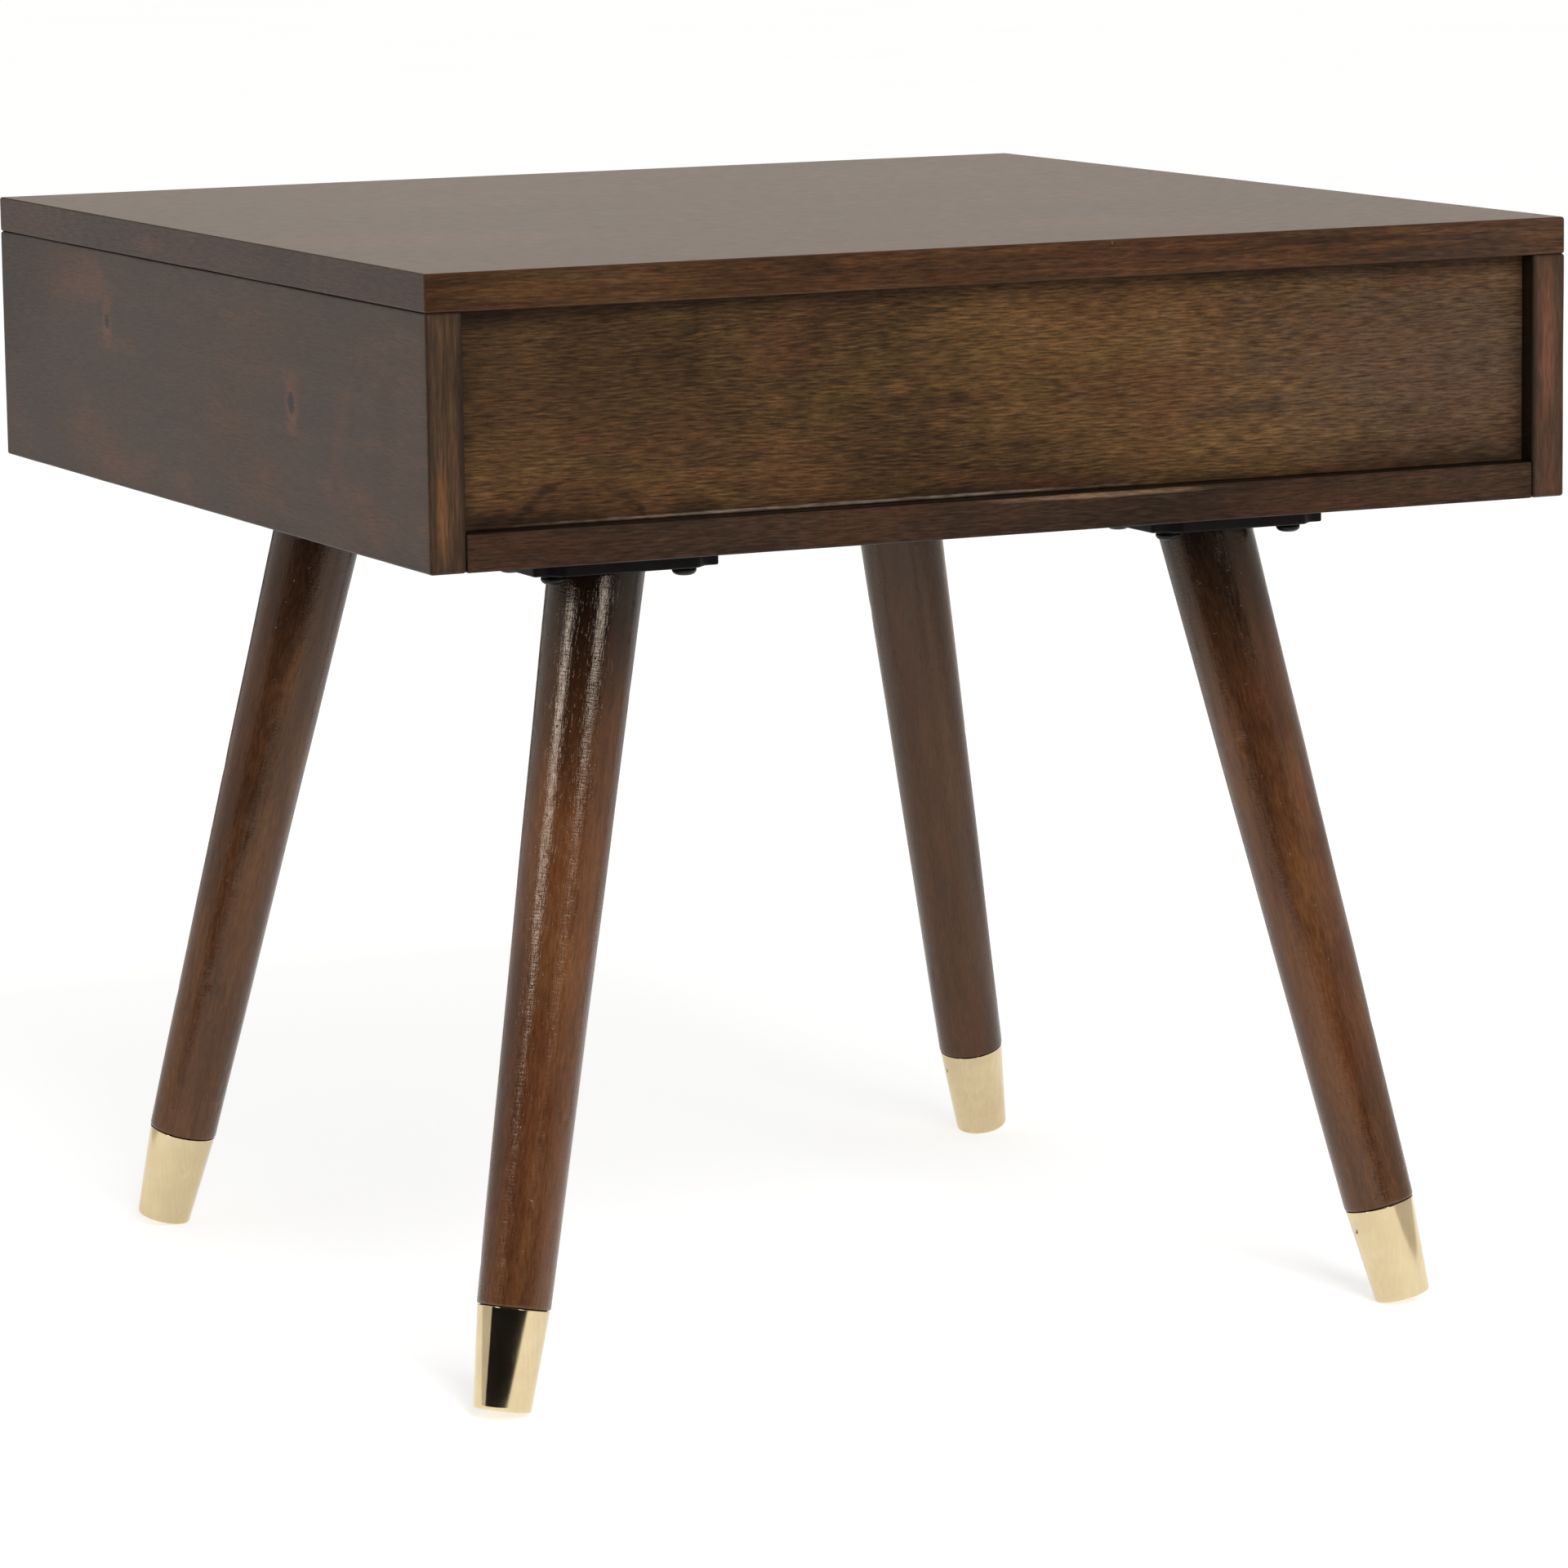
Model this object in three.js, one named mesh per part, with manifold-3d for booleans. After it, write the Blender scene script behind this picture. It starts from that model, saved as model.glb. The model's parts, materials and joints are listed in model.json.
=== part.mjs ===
import * as THREE from "three";
import { RoundedBoxGeometry } from "three/addons/geometries/RoundedBoxGeometry.js";
import { mergeVertices } from "three/addons/utils/BufferGeometryUtils.js";
import Module from "manifold-3d";

// Square side table with one drawer, in millimetres, +Z up, floor at z = 0.
// The drawer opens towards -Y; "left" and "right" are as seen by someone facing the drawer.

// Case
const tableWidth = 600;
const tableDepth = 600;
const tableHeight = 550;
const boardThickness = 18;
const caseHeight = 137; // tabletop face to underside of the bottom board
const edgeEase = 1.2; // radius on the arrises of the boards
const backThickness = 9;
const backRecess = 10; // back panel sits this far inside the rear edges

// Legs
const legTopX = 165; // leg axis where it meets the mounting block
const legTopY = 178;
const legFootX = 247; // leg axis at the floor end
const legFootY = 236;
const legTopRadius = 23.5;
const legShoulderRadius = 18.3; // wood just above the cap
const legShoulderRound = 1.4;
const capTopRadius = 17.5;
const capFootRadius = 14;
const capLength = 49;
const capFloor = 3;
const capWall = 1.2;
const capRound = 1.6;
const fitGap = 0.3; // clearance between a piece and the hole it sits in
const pinRadius = 1.05;
const pinHoleRadius = 1.35;
const pinFromMouth = 10;
const pinLength = 9;
const pinSink = 0.5;

// Mounting blocks and their hardware
const blockSizeX = 96;
const blockSizeY = 84;
const blockThickness = 16;
const blockCornerStep = 6;
const blockCornerRun = 13;
const blockCornerFlat = 7;
const boltSpacingX = 68;
const boltSpacingY = 52;
const boltShankRadius = 3;
const boltCollarRadius = 5.2;
const boltCollarHeight = 1.8;
const boltHeadRadius = 6;
const boltHeadHeight = 3.2;
const boltIntoBoard = 12;
const hangerRadius = 4;
const hangerIntoLeg = 55;
const hangerIntoBoard = 12;

// Drawer
const frontThickness = 18;
const frontGap = 2; // reveal round the drawer front
const boxWall = 12;
const boxHeight = 75;
const boxBottomZ = 440;
const boxLength = 500;
const slideSpace = 12.7; // between drawer side and case side
const bottomThickness = 6;
const grooveDepth = 5;
const grooveRise = 8; // groove above the lower edge of the box
const knobRadius = 14;
const knobProjection = 24;
const knobNeckRadius = 6;
const knobBaseRadius = 9;
const screwRadius = 2;
const screwHeadRadius = 4.3;
const screwHeadHeight = 2.4;
const frontScrewX = 180;

// Slides: three nested channels on each side
const slideHeight = 45;
const slideLength = 500;
const slideCentreZ = 478;
const slideSheet = 1.2;
const middleInset = 3.3; // each inner channel is this much lower at top and bottom
const middleStandOff = 3.2; // web of the middle channel from the web of the outer one
const channelLip = 8.2;

const undersideZ = tableHeight - caseHeight;
const innerHalfWidth = tableWidth / 2 - boardThickness;
const boardTopZ = undersideZ + boardThickness;
const slabBottomZ = tableHeight - boardThickness;
const blockBottomZ = undersideZ - blockThickness;
const caseFrontY = -tableDepth / 2;
const caseBackY = tableDepth / 2;
const boxFrontY = caseFrontY + frontThickness;
const boxBackY = boxFrontY + boxLength;
const boxHalfWidth = innerHalfWidth - slideSpace;
const frontCentreZ = (boardTopZ + slabBottomZ) / 2;

const wasm = await Module();
wasm.setup();

const topWood = new THREE.MeshStandardMaterial({ color: 0x6e5d4d, roughness: 0.42, metalness: 0 });
const caseWood = new THREE.MeshStandardMaterial({ color: 0x54433a, roughness: 0.48, metalness: 0 });
const backWood = new THREE.MeshStandardMaterial({ color: 0x4d3a2c, roughness: 0.55, metalness: 0 });
const legWood = new THREE.MeshStandardMaterial({ color: 0x47302a, roughness: 0.32, metalness: 0 });
const boxWood = new THREE.MeshStandardMaterial({ color: 0xb08d63, roughness: 0.6, metalness: 0 });
const blackPaint = new THREE.MeshStandardMaterial({ color: 0x1d1b1a, roughness: 0.5, metalness: 0.2 });
const blackSteel = new THREE.MeshStandardMaterial({ color: 0x141414, roughness: 0.35, metalness: 0.8 });
const zincSteel = new THREE.MeshStandardMaterial({ color: 0xa9abad, roughness: 0.35, metalness: 0.9 });
const brass = new THREE.MeshStandardMaterial({ color: 0xcfae6a, roughness: 0.2, metalness: 1 });

const sideTable = new THREE.Group();
sideTable.name = "side_table";
// The knob stands out in front, so the case sits half that far back from the middle of the whole table.
const assembly = new THREE.Group();
assembly.position.y = knobProjection / 2;
sideTable.add(assembly);

function addPiece(name, geometry, material) {
  const mesh = new THREE.Mesh(geometry, material.clone());
  mesh.name = name;
  assembly.add(mesh);
}

function solidFrom(geometry) {
  const bare = geometry.clone();
  bare.deleteAttribute("normal");
  bare.deleteAttribute("uv");
  const merged = mergeVertices(bare, 1e-4);
  const made = new wasm.Mesh({
    numProp: 3,
    vertProperties: new Float32Array(merged.attributes.position.array),
    triVerts: new Uint32Array(merged.index.array),
  });
  return new wasm.Manifold(made);
}

function geometryFrom(solid) {
  const made = solid.getMesh();
  const geometry = new THREE.BufferGeometry();
  geometry.setAttribute("position", new THREE.BufferAttribute(made.vertProperties, 3));
  geometry.setIndex(new THREE.BufferAttribute(made.triVerts, 1));
  geometry.computeVertexNormals();
  return geometry;
}

function cut(geometry, tools) {
  let solid = solidFrom(geometry);
  for (const tool of tools) {
    solid = solid.subtract(solidFrom(tool));
  }
  return geometryFrom(solid);
}

// A board between two opposite corners, with its arrises eased.
function board(low, high, ease = edgeEase) {
  const size = high.map((value, i) => value - low[i]);
  const geometry = new RoundedBoxGeometry(size[0], size[1], size[2], 1, ease);
  geometry.translate((low[0] + high[0]) / 2, (low[1] + high[1]) / 2, (low[2] + high[2]) / 2);
  return geometry;
}

function plainBox(low, high) {
  const size = high.map((value, i) => value - low[i]);
  const geometry = new THREE.BoxGeometry(size[0], size[1], size[2]);
  geometry.translate((low[0] + high[0]) / 2, (low[1] + high[1]) / 2, (low[2] + high[2]) / 2);
  return geometry;
}

// A turned piece: [radius, distance along the axis] pairs from the origin along `axis`.
// `side` is the direction of its first seam, so a corner of the turning can be put where it matters.
function turned(profile, origin, axis, side, segments) {
  const points = profile.map(([radius, along]) => new THREE.Vector2(radius, along));
  const geometry = new THREE.LatheGeometry(points, segments);
  const up = axis.clone().normalize();
  const seam = side.clone().addScaledVector(up, -side.dot(up)).normalize();
  const basis = new THREE.Matrix4().makeBasis(new THREE.Vector3().crossVectors(up, seam), up, seam);
  basis.setPosition(origin);
  geometry.applyMatrix4(basis);
  return geometry;
}

// A plain rod used for drilling.
function drill(origin, axis, side, radius, length, segments = 16) {
  const profile = [
    [0, 0],
    [radius, 0],
    [radius, length],
    [0, length],
  ];
  return turned(profile, origin, axis, side, segments);
}

const alongX = new THREE.Vector3(1, 0, 0);
const alongY = new THREE.Vector3(0, 1, 0);
const alongZ = new THREE.Vector3(0, 0, 1);
const halfWidth = tableWidth / 2;

// ---- Legs, caps, blocks and their hardware, one set per corner ----
const corners = [
  { tag: "front_left", sx: -1, sy: -1 },
  { tag: "front_right", sx: 1, sy: -1 },
  { tag: "back_left", sx: -1, sy: 1 },
  { tag: "back_right", sx: 1, sy: 1 },
];
const boardHoles = [];

for (const { tag, sx, sy } of corners) {
  const legTop = new THREE.Vector3(sx * legTopX, sy * legTopY, blockBottomZ);
  const run = Math.hypot(legFootX - legTopX, legFootY - legTopY);
  // The foot of the cap is square to the leg, so its inner edge is what touches the floor.
  let tilt = 0;
  let footZ = 0;
  for (let pass = 0; pass < 8; pass += 1) {
    tilt = Math.atan2(run, blockBottomZ - footZ);
    footZ = (capFootRadius - capRound) * Math.sin(tilt) + capRound * (1 - Math.cos(tilt));
  }
  const foot = new THREE.Vector3(sx * legFootX, sy * legFootY, footZ);
  const axis = new THREE.Vector3().subVectors(legTop, foot);
  const legLength = axis.length();
  axis.normalize();
  const down = alongZ.clone().negate();
  const pinSide = alongX.clone().multiplyScalar(-sx);

  // Brass cap: a tapered cup with a rounded foot and a slightly rounded mouth.
  const capRadiusAt = (s) => capFootRadius + ((capTopRadius - capFootRadius) * s) / capLength;
  const capProfile = [[0, 0], [capFootRadius - capRound, 0]];
  for (const turn of [tilt, (tilt + Math.PI / 2) / 2, Math.PI / 2]) {
    const bulge = capRound * Math.sin(turn);
    capProfile.push([capFootRadius - capRound + bulge, capRound * (1 - Math.cos(turn))]);
  }
  capProfile.push([capRadiusAt(capLength - 0.5), capLength - 0.5]);
  capProfile.push([capTopRadius - 0.4, capLength]);
  capProfile.push([capTopRadius - capWall, capLength]);
  capProfile.push([capRadiusAt(capFloor) - capWall, capFloor]);
  capProfile.push([0, capFloor]);

  const pinCentre = foot.clone().addScaledVector(axis, capLength - pinFromMouth);
  const pinAxis = pinSide.clone().addScaledVector(axis, -pinSide.dot(axis)).normalize();
  const pinOuter = capRadiusAt(capLength - pinFromMouth);
  const holeStart = pinCentre.clone().addScaledVector(pinAxis, pinOuter + 2);
  const intoLeg = pinAxis.clone().negate();
  const pinHole = drill(holeStart, intoLeg, axis, pinHoleRadius, pinLength + 3, 12);
  addPiece("leg_cap_" + tag, cut(turned(capProfile, foot, axis, down, 40), [pinHole]), brass);

  // Tapered leg: a tenon inside the cap, a soft shoulder above it, then a straight taper.
  const tenonFoot = capFloor + fitGap;
  const tenonTop = capLength + fitGap;
  const topReach = legLength + legTopRadius; // beyond the block face, trimmed flat below
  const taper = (legTopRadius - legShoulderRadius) / (legLength - tenonTop);
  const legProfile = [
    [0, tenonFoot],
    [capRadiusAt(tenonFoot) - capWall - fitGap, tenonFoot],
    [capTopRadius - capWall - fitGap, tenonTop],
    [legShoulderRadius - legShoulderRound, tenonTop],
    [legShoulderRadius - 0.4 * legShoulderRound, tenonTop + 0.4 * legShoulderRound],
    [legShoulderRadius, tenonTop + legShoulderRound],
    [legTopRadius + taper * legTopRadius, topReach],
    [0, topReach],
  ];
  const above = plainBox(
    [legTop.x - 60, legTop.y - 60, blockBottomZ],
    [legTop.x + 60, legTop.y + 60, blockBottomZ + 80],
  );
  const hangerStart = legTop.clone().addScaledVector(axis, -hangerIntoLeg);
  const climb = (blockThickness + hangerIntoBoard) / axis.z;
  const hangerHole = drill(
    hangerStart.clone().addScaledVector(axis, -2),
    axis,
    down,
    hangerRadius + fitGap,
    hangerIntoLeg + climb + 3,
  );
  const legBlank = turned(legProfile, foot, axis, down, 40);
  addPiece("leg_" + tag, cut(legBlank, [above, hangerHole, pinHole]), legWood);

  const hangerEnd = hangerIntoLeg + climb;
  const hangerProfile = [
    [0, 0],
    [hangerRadius - 1, 0],
    [hangerRadius, 2],
    [hangerRadius, hangerEnd - 1],
    [hangerRadius - 1, hangerEnd],
    [0, hangerEnd],
  ];
  addPiece("hanger_bolt_" + tag, turned(hangerProfile, hangerStart, axis, down, 16), zincSteel);
  boardHoles.push(hangerHole);

  const pinStart = pinCentre.clone().addScaledVector(pinAxis, pinOuter - pinSink);
  const pinProfile = [
    [0, 0],
    [pinRadius - 0.3, 0],
    [pinRadius, 0.3],
    [pinRadius, pinLength - 1.5],
    [0.2, pinLength],
    [0, pinLength],
  ];
  addPiece("cap_pin_" + tag, turned(pinProfile, pinStart, intoLeg, axis, 12), brass);

  // Mounting block with stepped corners.
  const ax = blockSizeX / 2;
  const by = blockSizeY / 2;
  const quarter = [
    [ax, by - blockCornerStep],
    [ax - blockCornerFlat, by - blockCornerStep],
    [ax - blockCornerRun, by],
  ];
  const outline = [
    ...quarter,
    ...quarter.map(([x, y]) => [-x, y]).reverse(),
    ...quarter.map(([x, y]) => [-x, -y]),
    ...quarter.map(([x, y]) => [x, -y]).reverse(),
  ];
  const shape = new THREE.Shape(outline.map(([x, y]) => new THREE.Vector2(x, y)));
  const blockBlank = new THREE.ExtrudeGeometry(shape, { depth: blockThickness, bevelEnabled: false });
  blockBlank.translate(legTop.x, legTop.y, blockBottomZ);

  const boltHoles = [];
  let boltNumber = 1;
  for (const bx of [-1, 1]) {
    for (const bz of [-1, 1]) {
      const at = new THREE.Vector3(
        legTop.x + (bx * boltSpacingX) / 2,
        legTop.y + (bz * boltSpacingY) / 2,
        blockBottomZ - boltCollarHeight - boltHeadHeight,
      );
      const collarZ = boltHeadHeight + boltCollarHeight;
      const boltEnd = collarZ + blockThickness + boltIntoBoard;
      const boltProfile = [
        [0, 0],
        [boltHeadRadius * 0.55, 0],
        [boltHeadRadius * 0.9, boltHeadHeight * 0.3],
        [boltHeadRadius, boltHeadHeight * 0.7],
        [boltHeadRadius * 0.93, boltHeadHeight],
        [boltCollarRadius, boltHeadHeight],
        [boltCollarRadius, collarZ],
        [boltShankRadius, collarZ],
        [boltShankRadius, boltEnd - 1],
        [boltShankRadius - 1, boltEnd],
        [0, boltEnd],
      ];
      addPiece("block_bolt_" + tag + "_" + boltNumber, turned(boltProfile, at, alongZ, alongX, 16), blackSteel);
      const holeFoot = at.clone().setZ(blockBottomZ - 1);
      const holeLength = blockThickness + boltIntoBoard + 2;
      boltHoles.push(drill(holeFoot, alongZ, alongX, boltShankRadius + fitGap, holeLength, 16));
      boltNumber += 1;
    }
  }
  addPiece("leg_block_" + tag, cut(blockBlank, [hangerHole, ...boltHoles]), blackPaint);
  boardHoles.push(...boltHoles);
}

// ---- Case ----
addPiece(
  "top_panel",
  board([-halfWidth, caseFrontY, slabBottomZ], [halfWidth, caseBackY, tableHeight]),
  topWood,
);
for (const [tag, sx] of [["left", -1], ["right", 1]]) {
  const inner = sx * innerHalfWidth;
  const outer = sx * halfWidth;
  addPiece(
    "side_panel_" + tag,
    board(
      [Math.min(inner, outer), caseFrontY, undersideZ],
      [Math.max(inner, outer), caseBackY, slabBottomZ],
    ),
    caseWood,
  );
}
const bottomBlank = board(
  [-innerHalfWidth, caseFrontY, undersideZ],
  [innerHalfWidth, caseBackY, boardTopZ],
);
addPiece("bottom_panel", cut(bottomBlank, boardHoles), caseWood);
addPiece(
  "back_panel",
  board(
    [-innerHalfWidth, caseBackY - backRecess - backThickness, boardTopZ],
    [innerHalfWidth, caseBackY - backRecess, slabBottomZ],
    0.4,
  ),
  backWood,
);

// ---- Drawer ----
const boxTopZ = boxBottomZ + boxHeight;
const grooveLowZ = boxBottomZ + grooveRise - fitGap;
const grooveHighZ = boxBottomZ + grooveRise + bottomThickness + fitGap;
const inFront = (x, y, z) => new THREE.Vector3(x, y, z);

const screwHoles = [-1, 1].map((s) =>
  drill(inFront(s * frontScrewX, boxFrontY + boxWall + 1, frontCentreZ), alongY.clone().negate(), alongZ,
    screwRadius + fitGap, boxWall + 14, 12),
);
const knobHole = drill(
  inFront(0, boxFrontY + boxWall + 1, frontCentreZ),
  alongY.clone().negate(),
  alongZ,
  screwRadius + fitGap,
  boxWall + frontThickness + 13,
  12,
);

const frontBlank = board(
  [-innerHalfWidth + frontGap, caseFrontY, boardTopZ + frontGap],
  [innerHalfWidth - frontGap, boxFrontY, slabBottomZ - frontGap],
);
addPiece("drawer_front", cut(frontBlank, [knobHole, ...screwHoles]), caseWood);

const innerBoxHalf = boxHalfWidth - boxWall;
const cross = [
  ["drawer_box_front", boxFrontY, boxFrontY + boxWall, [knobHole, ...screwHoles], 1],
  ["drawer_box_back", boxBackY - boxWall, boxBackY, [], -1],
];
for (const [name, y0, y1, holes, inward] of cross) {
  const innerY = inward > 0 ? y1 : y0;
  const groove = plainBox(
    [-innerBoxHalf - 1, Math.min(innerY - inward * grooveDepth, innerY + inward), grooveLowZ],
    [innerBoxHalf + 1, Math.max(innerY - inward * grooveDepth, innerY + inward), grooveHighZ],
  );
  const blank = board([-innerBoxHalf, y0, boxBottomZ], [innerBoxHalf, y1, boxTopZ], 0.6);
  addPiece(name, cut(blank, [groove, ...holes]), boxWood);
}
for (const [tag, sx] of [["left", -1], ["right", 1]]) {
  const inner = sx * innerBoxHalf;
  const outer = sx * boxHalfWidth;
  const deep = sx * (innerBoxHalf + grooveDepth);
  const clear = sx * (innerBoxHalf - 1);
  const groove = plainBox(
    [Math.min(deep, clear), boxFrontY + boxWall - grooveDepth, grooveLowZ],
    [Math.max(deep, clear), boxBackY - boxWall + grooveDepth, grooveHighZ],
  );
  const blank = board(
    [Math.min(inner, outer), boxFrontY, boxBottomZ],
    [Math.max(inner, outer), boxBackY, boxTopZ],
    0.6,
  );
  addPiece("drawer_side_" + tag, cut(blank, [groove]), boxWood);
}
addPiece(
  "drawer_bottom",
  plainBox(
    [-innerBoxHalf - grooveDepth + fitGap, boxFrontY + boxWall - grooveDepth + fitGap, boxBottomZ + grooveRise],
    [
      innerBoxHalf + grooveDepth - fitGap,
      boxBackY - boxWall + grooveDepth - fitGap,
      boxBottomZ + grooveRise + bottomThickness,
    ],
  ),
  boxWood,
);

// Knob: turned, with a flared base, a slim neck and a flat-domed head.
const knobProfile = [
  [0, 0],
  [knobBaseRadius, 0],
  [knobBaseRadius, 1.2],
  [knobNeckRadius + 0.8, 3.2],
  [knobNeckRadius, 7],
  [knobNeckRadius + 1, 11],
  [knobRadius - 2, 14.5],
  [knobRadius, 17],
  [knobRadius, 20.5],
  [knobRadius - 1.6, 22.6],
  [knobRadius - 5.5, 23.7],
  [0, knobProjection],
];
const knobBlank = turned(knobProfile, inFront(0, caseFrontY, frontCentreZ), alongY.clone().negate(), alongZ, 40);
addPiece("drawer_knob", cut(knobBlank, [knobHole]), brass);

// A screw driven from inside the drawer towards its front face.
function frontScrew(name, x, length) {
  const profile = [
    [0, 0],
    [screwHeadRadius * 0.7, 0],
    [screwHeadRadius, screwHeadHeight * 0.6],
    [screwHeadRadius, screwHeadHeight],
    [screwRadius, screwHeadHeight],
    [screwRadius, screwHeadHeight + length - 1],
    [screwRadius - 0.7, screwHeadHeight + length],
    [0, screwHeadHeight + length],
  ];
  const start = inFront(x, boxFrontY + boxWall + screwHeadHeight, frontCentreZ);
  addPiece(name, turned(profile, start, alongY.clone().negate(), alongZ, 16), zincSteel);
}
frontScrew("knob_screw", 0, boxWall + frontThickness + 10);
frontScrew("front_screw_left", -frontScrewX, boxWall + 11);
frontScrew("front_screw_right", frontScrewX, boxWall + 11);

// ---- Slides ----
// Each channel is a C: a web standing on edge with a lip at top and bottom.
function channel(webX, lipX, halfHeight, y0, y1) {
  const out = Math.sign(webX - lipX);
  const inWeb = webX - out * slideSheet;
  const innerHalf = halfHeight - slideSheet;
  const outline = [
    [webX, -halfHeight],
    [webX, halfHeight],
    [lipX, halfHeight],
    [lipX, innerHalf],
    [inWeb, innerHalf],
    [inWeb, -innerHalf],
    [lipX, -innerHalf],
    [lipX, -halfHeight],
  ];
  const shape = new THREE.Shape(outline.map(([x, z]) => new THREE.Vector2(x, z)));
  const geometry = new THREE.ExtrudeGeometry(shape, { depth: y1 - y0, bevelEnabled: false });
  geometry.rotateX(Math.PI / 2);
  geometry.translate(0, y1, slideCentreZ);
  return geometry;
}
for (const [tag, sx] of [["left", -1], ["right", 1]]) {
  const y0 = boxFrontY;
  const y1 = boxFrontY + slideLength;
  const wallX = innerHalfWidth;
  const lipX = wallX - slideSheet - channelLip;
  const half = slideHeight / 2;
  addPiece("slide_outer_" + tag, channel(sx * wallX, sx * lipX, half, y0 + 2, y1), zincSteel);
  addPiece(
    "slide_middle_" + tag,
    channel(sx * (wallX - slideSheet - middleStandOff), sx * lipX, half - middleInset, y0 + 2, y1 - 2),
    zincSteel,
  );
  addPiece(
    "slide_inner_" + tag,
    channel(sx * boxHalfWidth, sx * (boxHalfWidth + 7.1), half - 2 * middleInset, y0 + 2, y1),
    zincSteel,
  );
}

export default sideTable;
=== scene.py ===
import json
import math
import bpy
import numpy as np
from mathutils import Matrix, Vector


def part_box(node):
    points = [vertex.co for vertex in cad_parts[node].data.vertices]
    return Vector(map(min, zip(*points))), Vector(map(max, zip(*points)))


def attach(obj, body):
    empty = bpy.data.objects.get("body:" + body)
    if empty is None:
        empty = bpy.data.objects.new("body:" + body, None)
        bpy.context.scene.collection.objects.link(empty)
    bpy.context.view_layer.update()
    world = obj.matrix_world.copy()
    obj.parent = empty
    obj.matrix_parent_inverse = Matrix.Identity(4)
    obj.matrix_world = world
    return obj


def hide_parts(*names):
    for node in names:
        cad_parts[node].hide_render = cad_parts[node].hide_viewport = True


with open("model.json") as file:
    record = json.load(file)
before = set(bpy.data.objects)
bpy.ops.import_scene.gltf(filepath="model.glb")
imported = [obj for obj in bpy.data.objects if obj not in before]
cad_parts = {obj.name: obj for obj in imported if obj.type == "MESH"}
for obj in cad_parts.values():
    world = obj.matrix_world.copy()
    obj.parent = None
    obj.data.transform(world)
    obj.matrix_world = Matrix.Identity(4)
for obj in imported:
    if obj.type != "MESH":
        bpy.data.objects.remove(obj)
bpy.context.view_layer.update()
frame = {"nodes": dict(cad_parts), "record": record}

# Side table with a drawer, in metres. The drawer opens towards -Y, the back panel faces +Y.
bodies = frame["record"]["behaviour"]["bodies"]
bodyOf = {node: body for body, nodes in bodies.items() for node in nodes}
corners = {"front_left": (-1, -1), "front_right": (1, -1), "back_left": (-1, 1), "back_right": (1, 1)}


# faces over a grid of rows x cols points, as four columns of point numbers
def gridFaces(rows, cols, closeCols=False):
    r, c = np.meshgrid(np.arange(rows - 1), np.arange(cols if closeCols else cols - 1), indexing="ij")
    n = (c + 1) % cols
    return np.stack([r * cols + c, r * cols + n, (r + 1) * cols + n, (r + 1) * cols + c], -1).reshape(-1, 4)


# a mesh object from whole arrays; layers are point or corner attributes, one or three numbers each
def meshObject(name, points, faces, layers=None, flat=False):
    mesh = bpy.data.meshes.new(name)
    loops = np.concatenate([f.ravel() for f in faces]).astype(np.int32)
    sizes = np.concatenate([np.full(len(f), f.shape[1]) for f in faces])
    mesh.vertices.add(len(points))
    mesh.vertices.foreach_set("co", points.astype(np.float32).ravel())
    mesh.loops.add(len(loops))
    mesh.loops.foreach_set("vertex_index", loops)
    mesh.polygons.add(len(sizes))
    mesh.polygons.foreach_set("loop_start", (np.cumsum(sizes) - sizes).astype(np.int32))
    mesh.polygons.foreach_set("use_smooth", np.full(len(sizes), not flat))
    mesh.update(calc_edges=True)
    for key, values in (layers or {}).items():
        kind, field = ("FLOAT_VECTOR", "vector") if values.ndim == 2 else ("FLOAT", "value")
        domain = "POINT" if len(values) == len(points) else "CORNER"
        mesh.attributes.new(key, kind, domain).data.foreach_set(field, values.astype(np.float32).ravel())
    made = bpy.data.objects.new(name, mesh)
    bpy.context.scene.collection.objects.link(made)
    return made


# gives a finished piece its finish, hangs it on its body and hides the CAD nodes it stands for
def settle(piece, material, slot, *nodes):
    piece.data.materials.append(material)
    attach(piece, bodyOf[nodes[0]])
    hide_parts(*nodes)
    return piece


# low ripple for worked surfaces: a sum of sines over the given coordinates, about -1 to 1
def ripple(coordinates, lengths, seed):
    dice = np.random.default_rng(int(round(seed)))
    total = 0
    for _ in range(5):
        phase = dice.uniform(0, 2 * math.pi)
        turn = sum(c * dice.uniform(-1, 1) / length for c, length in zip(coordinates, lengths))
        total = total + np.sin(2 * math.pi * turn + phase)
    return total / 3


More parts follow.
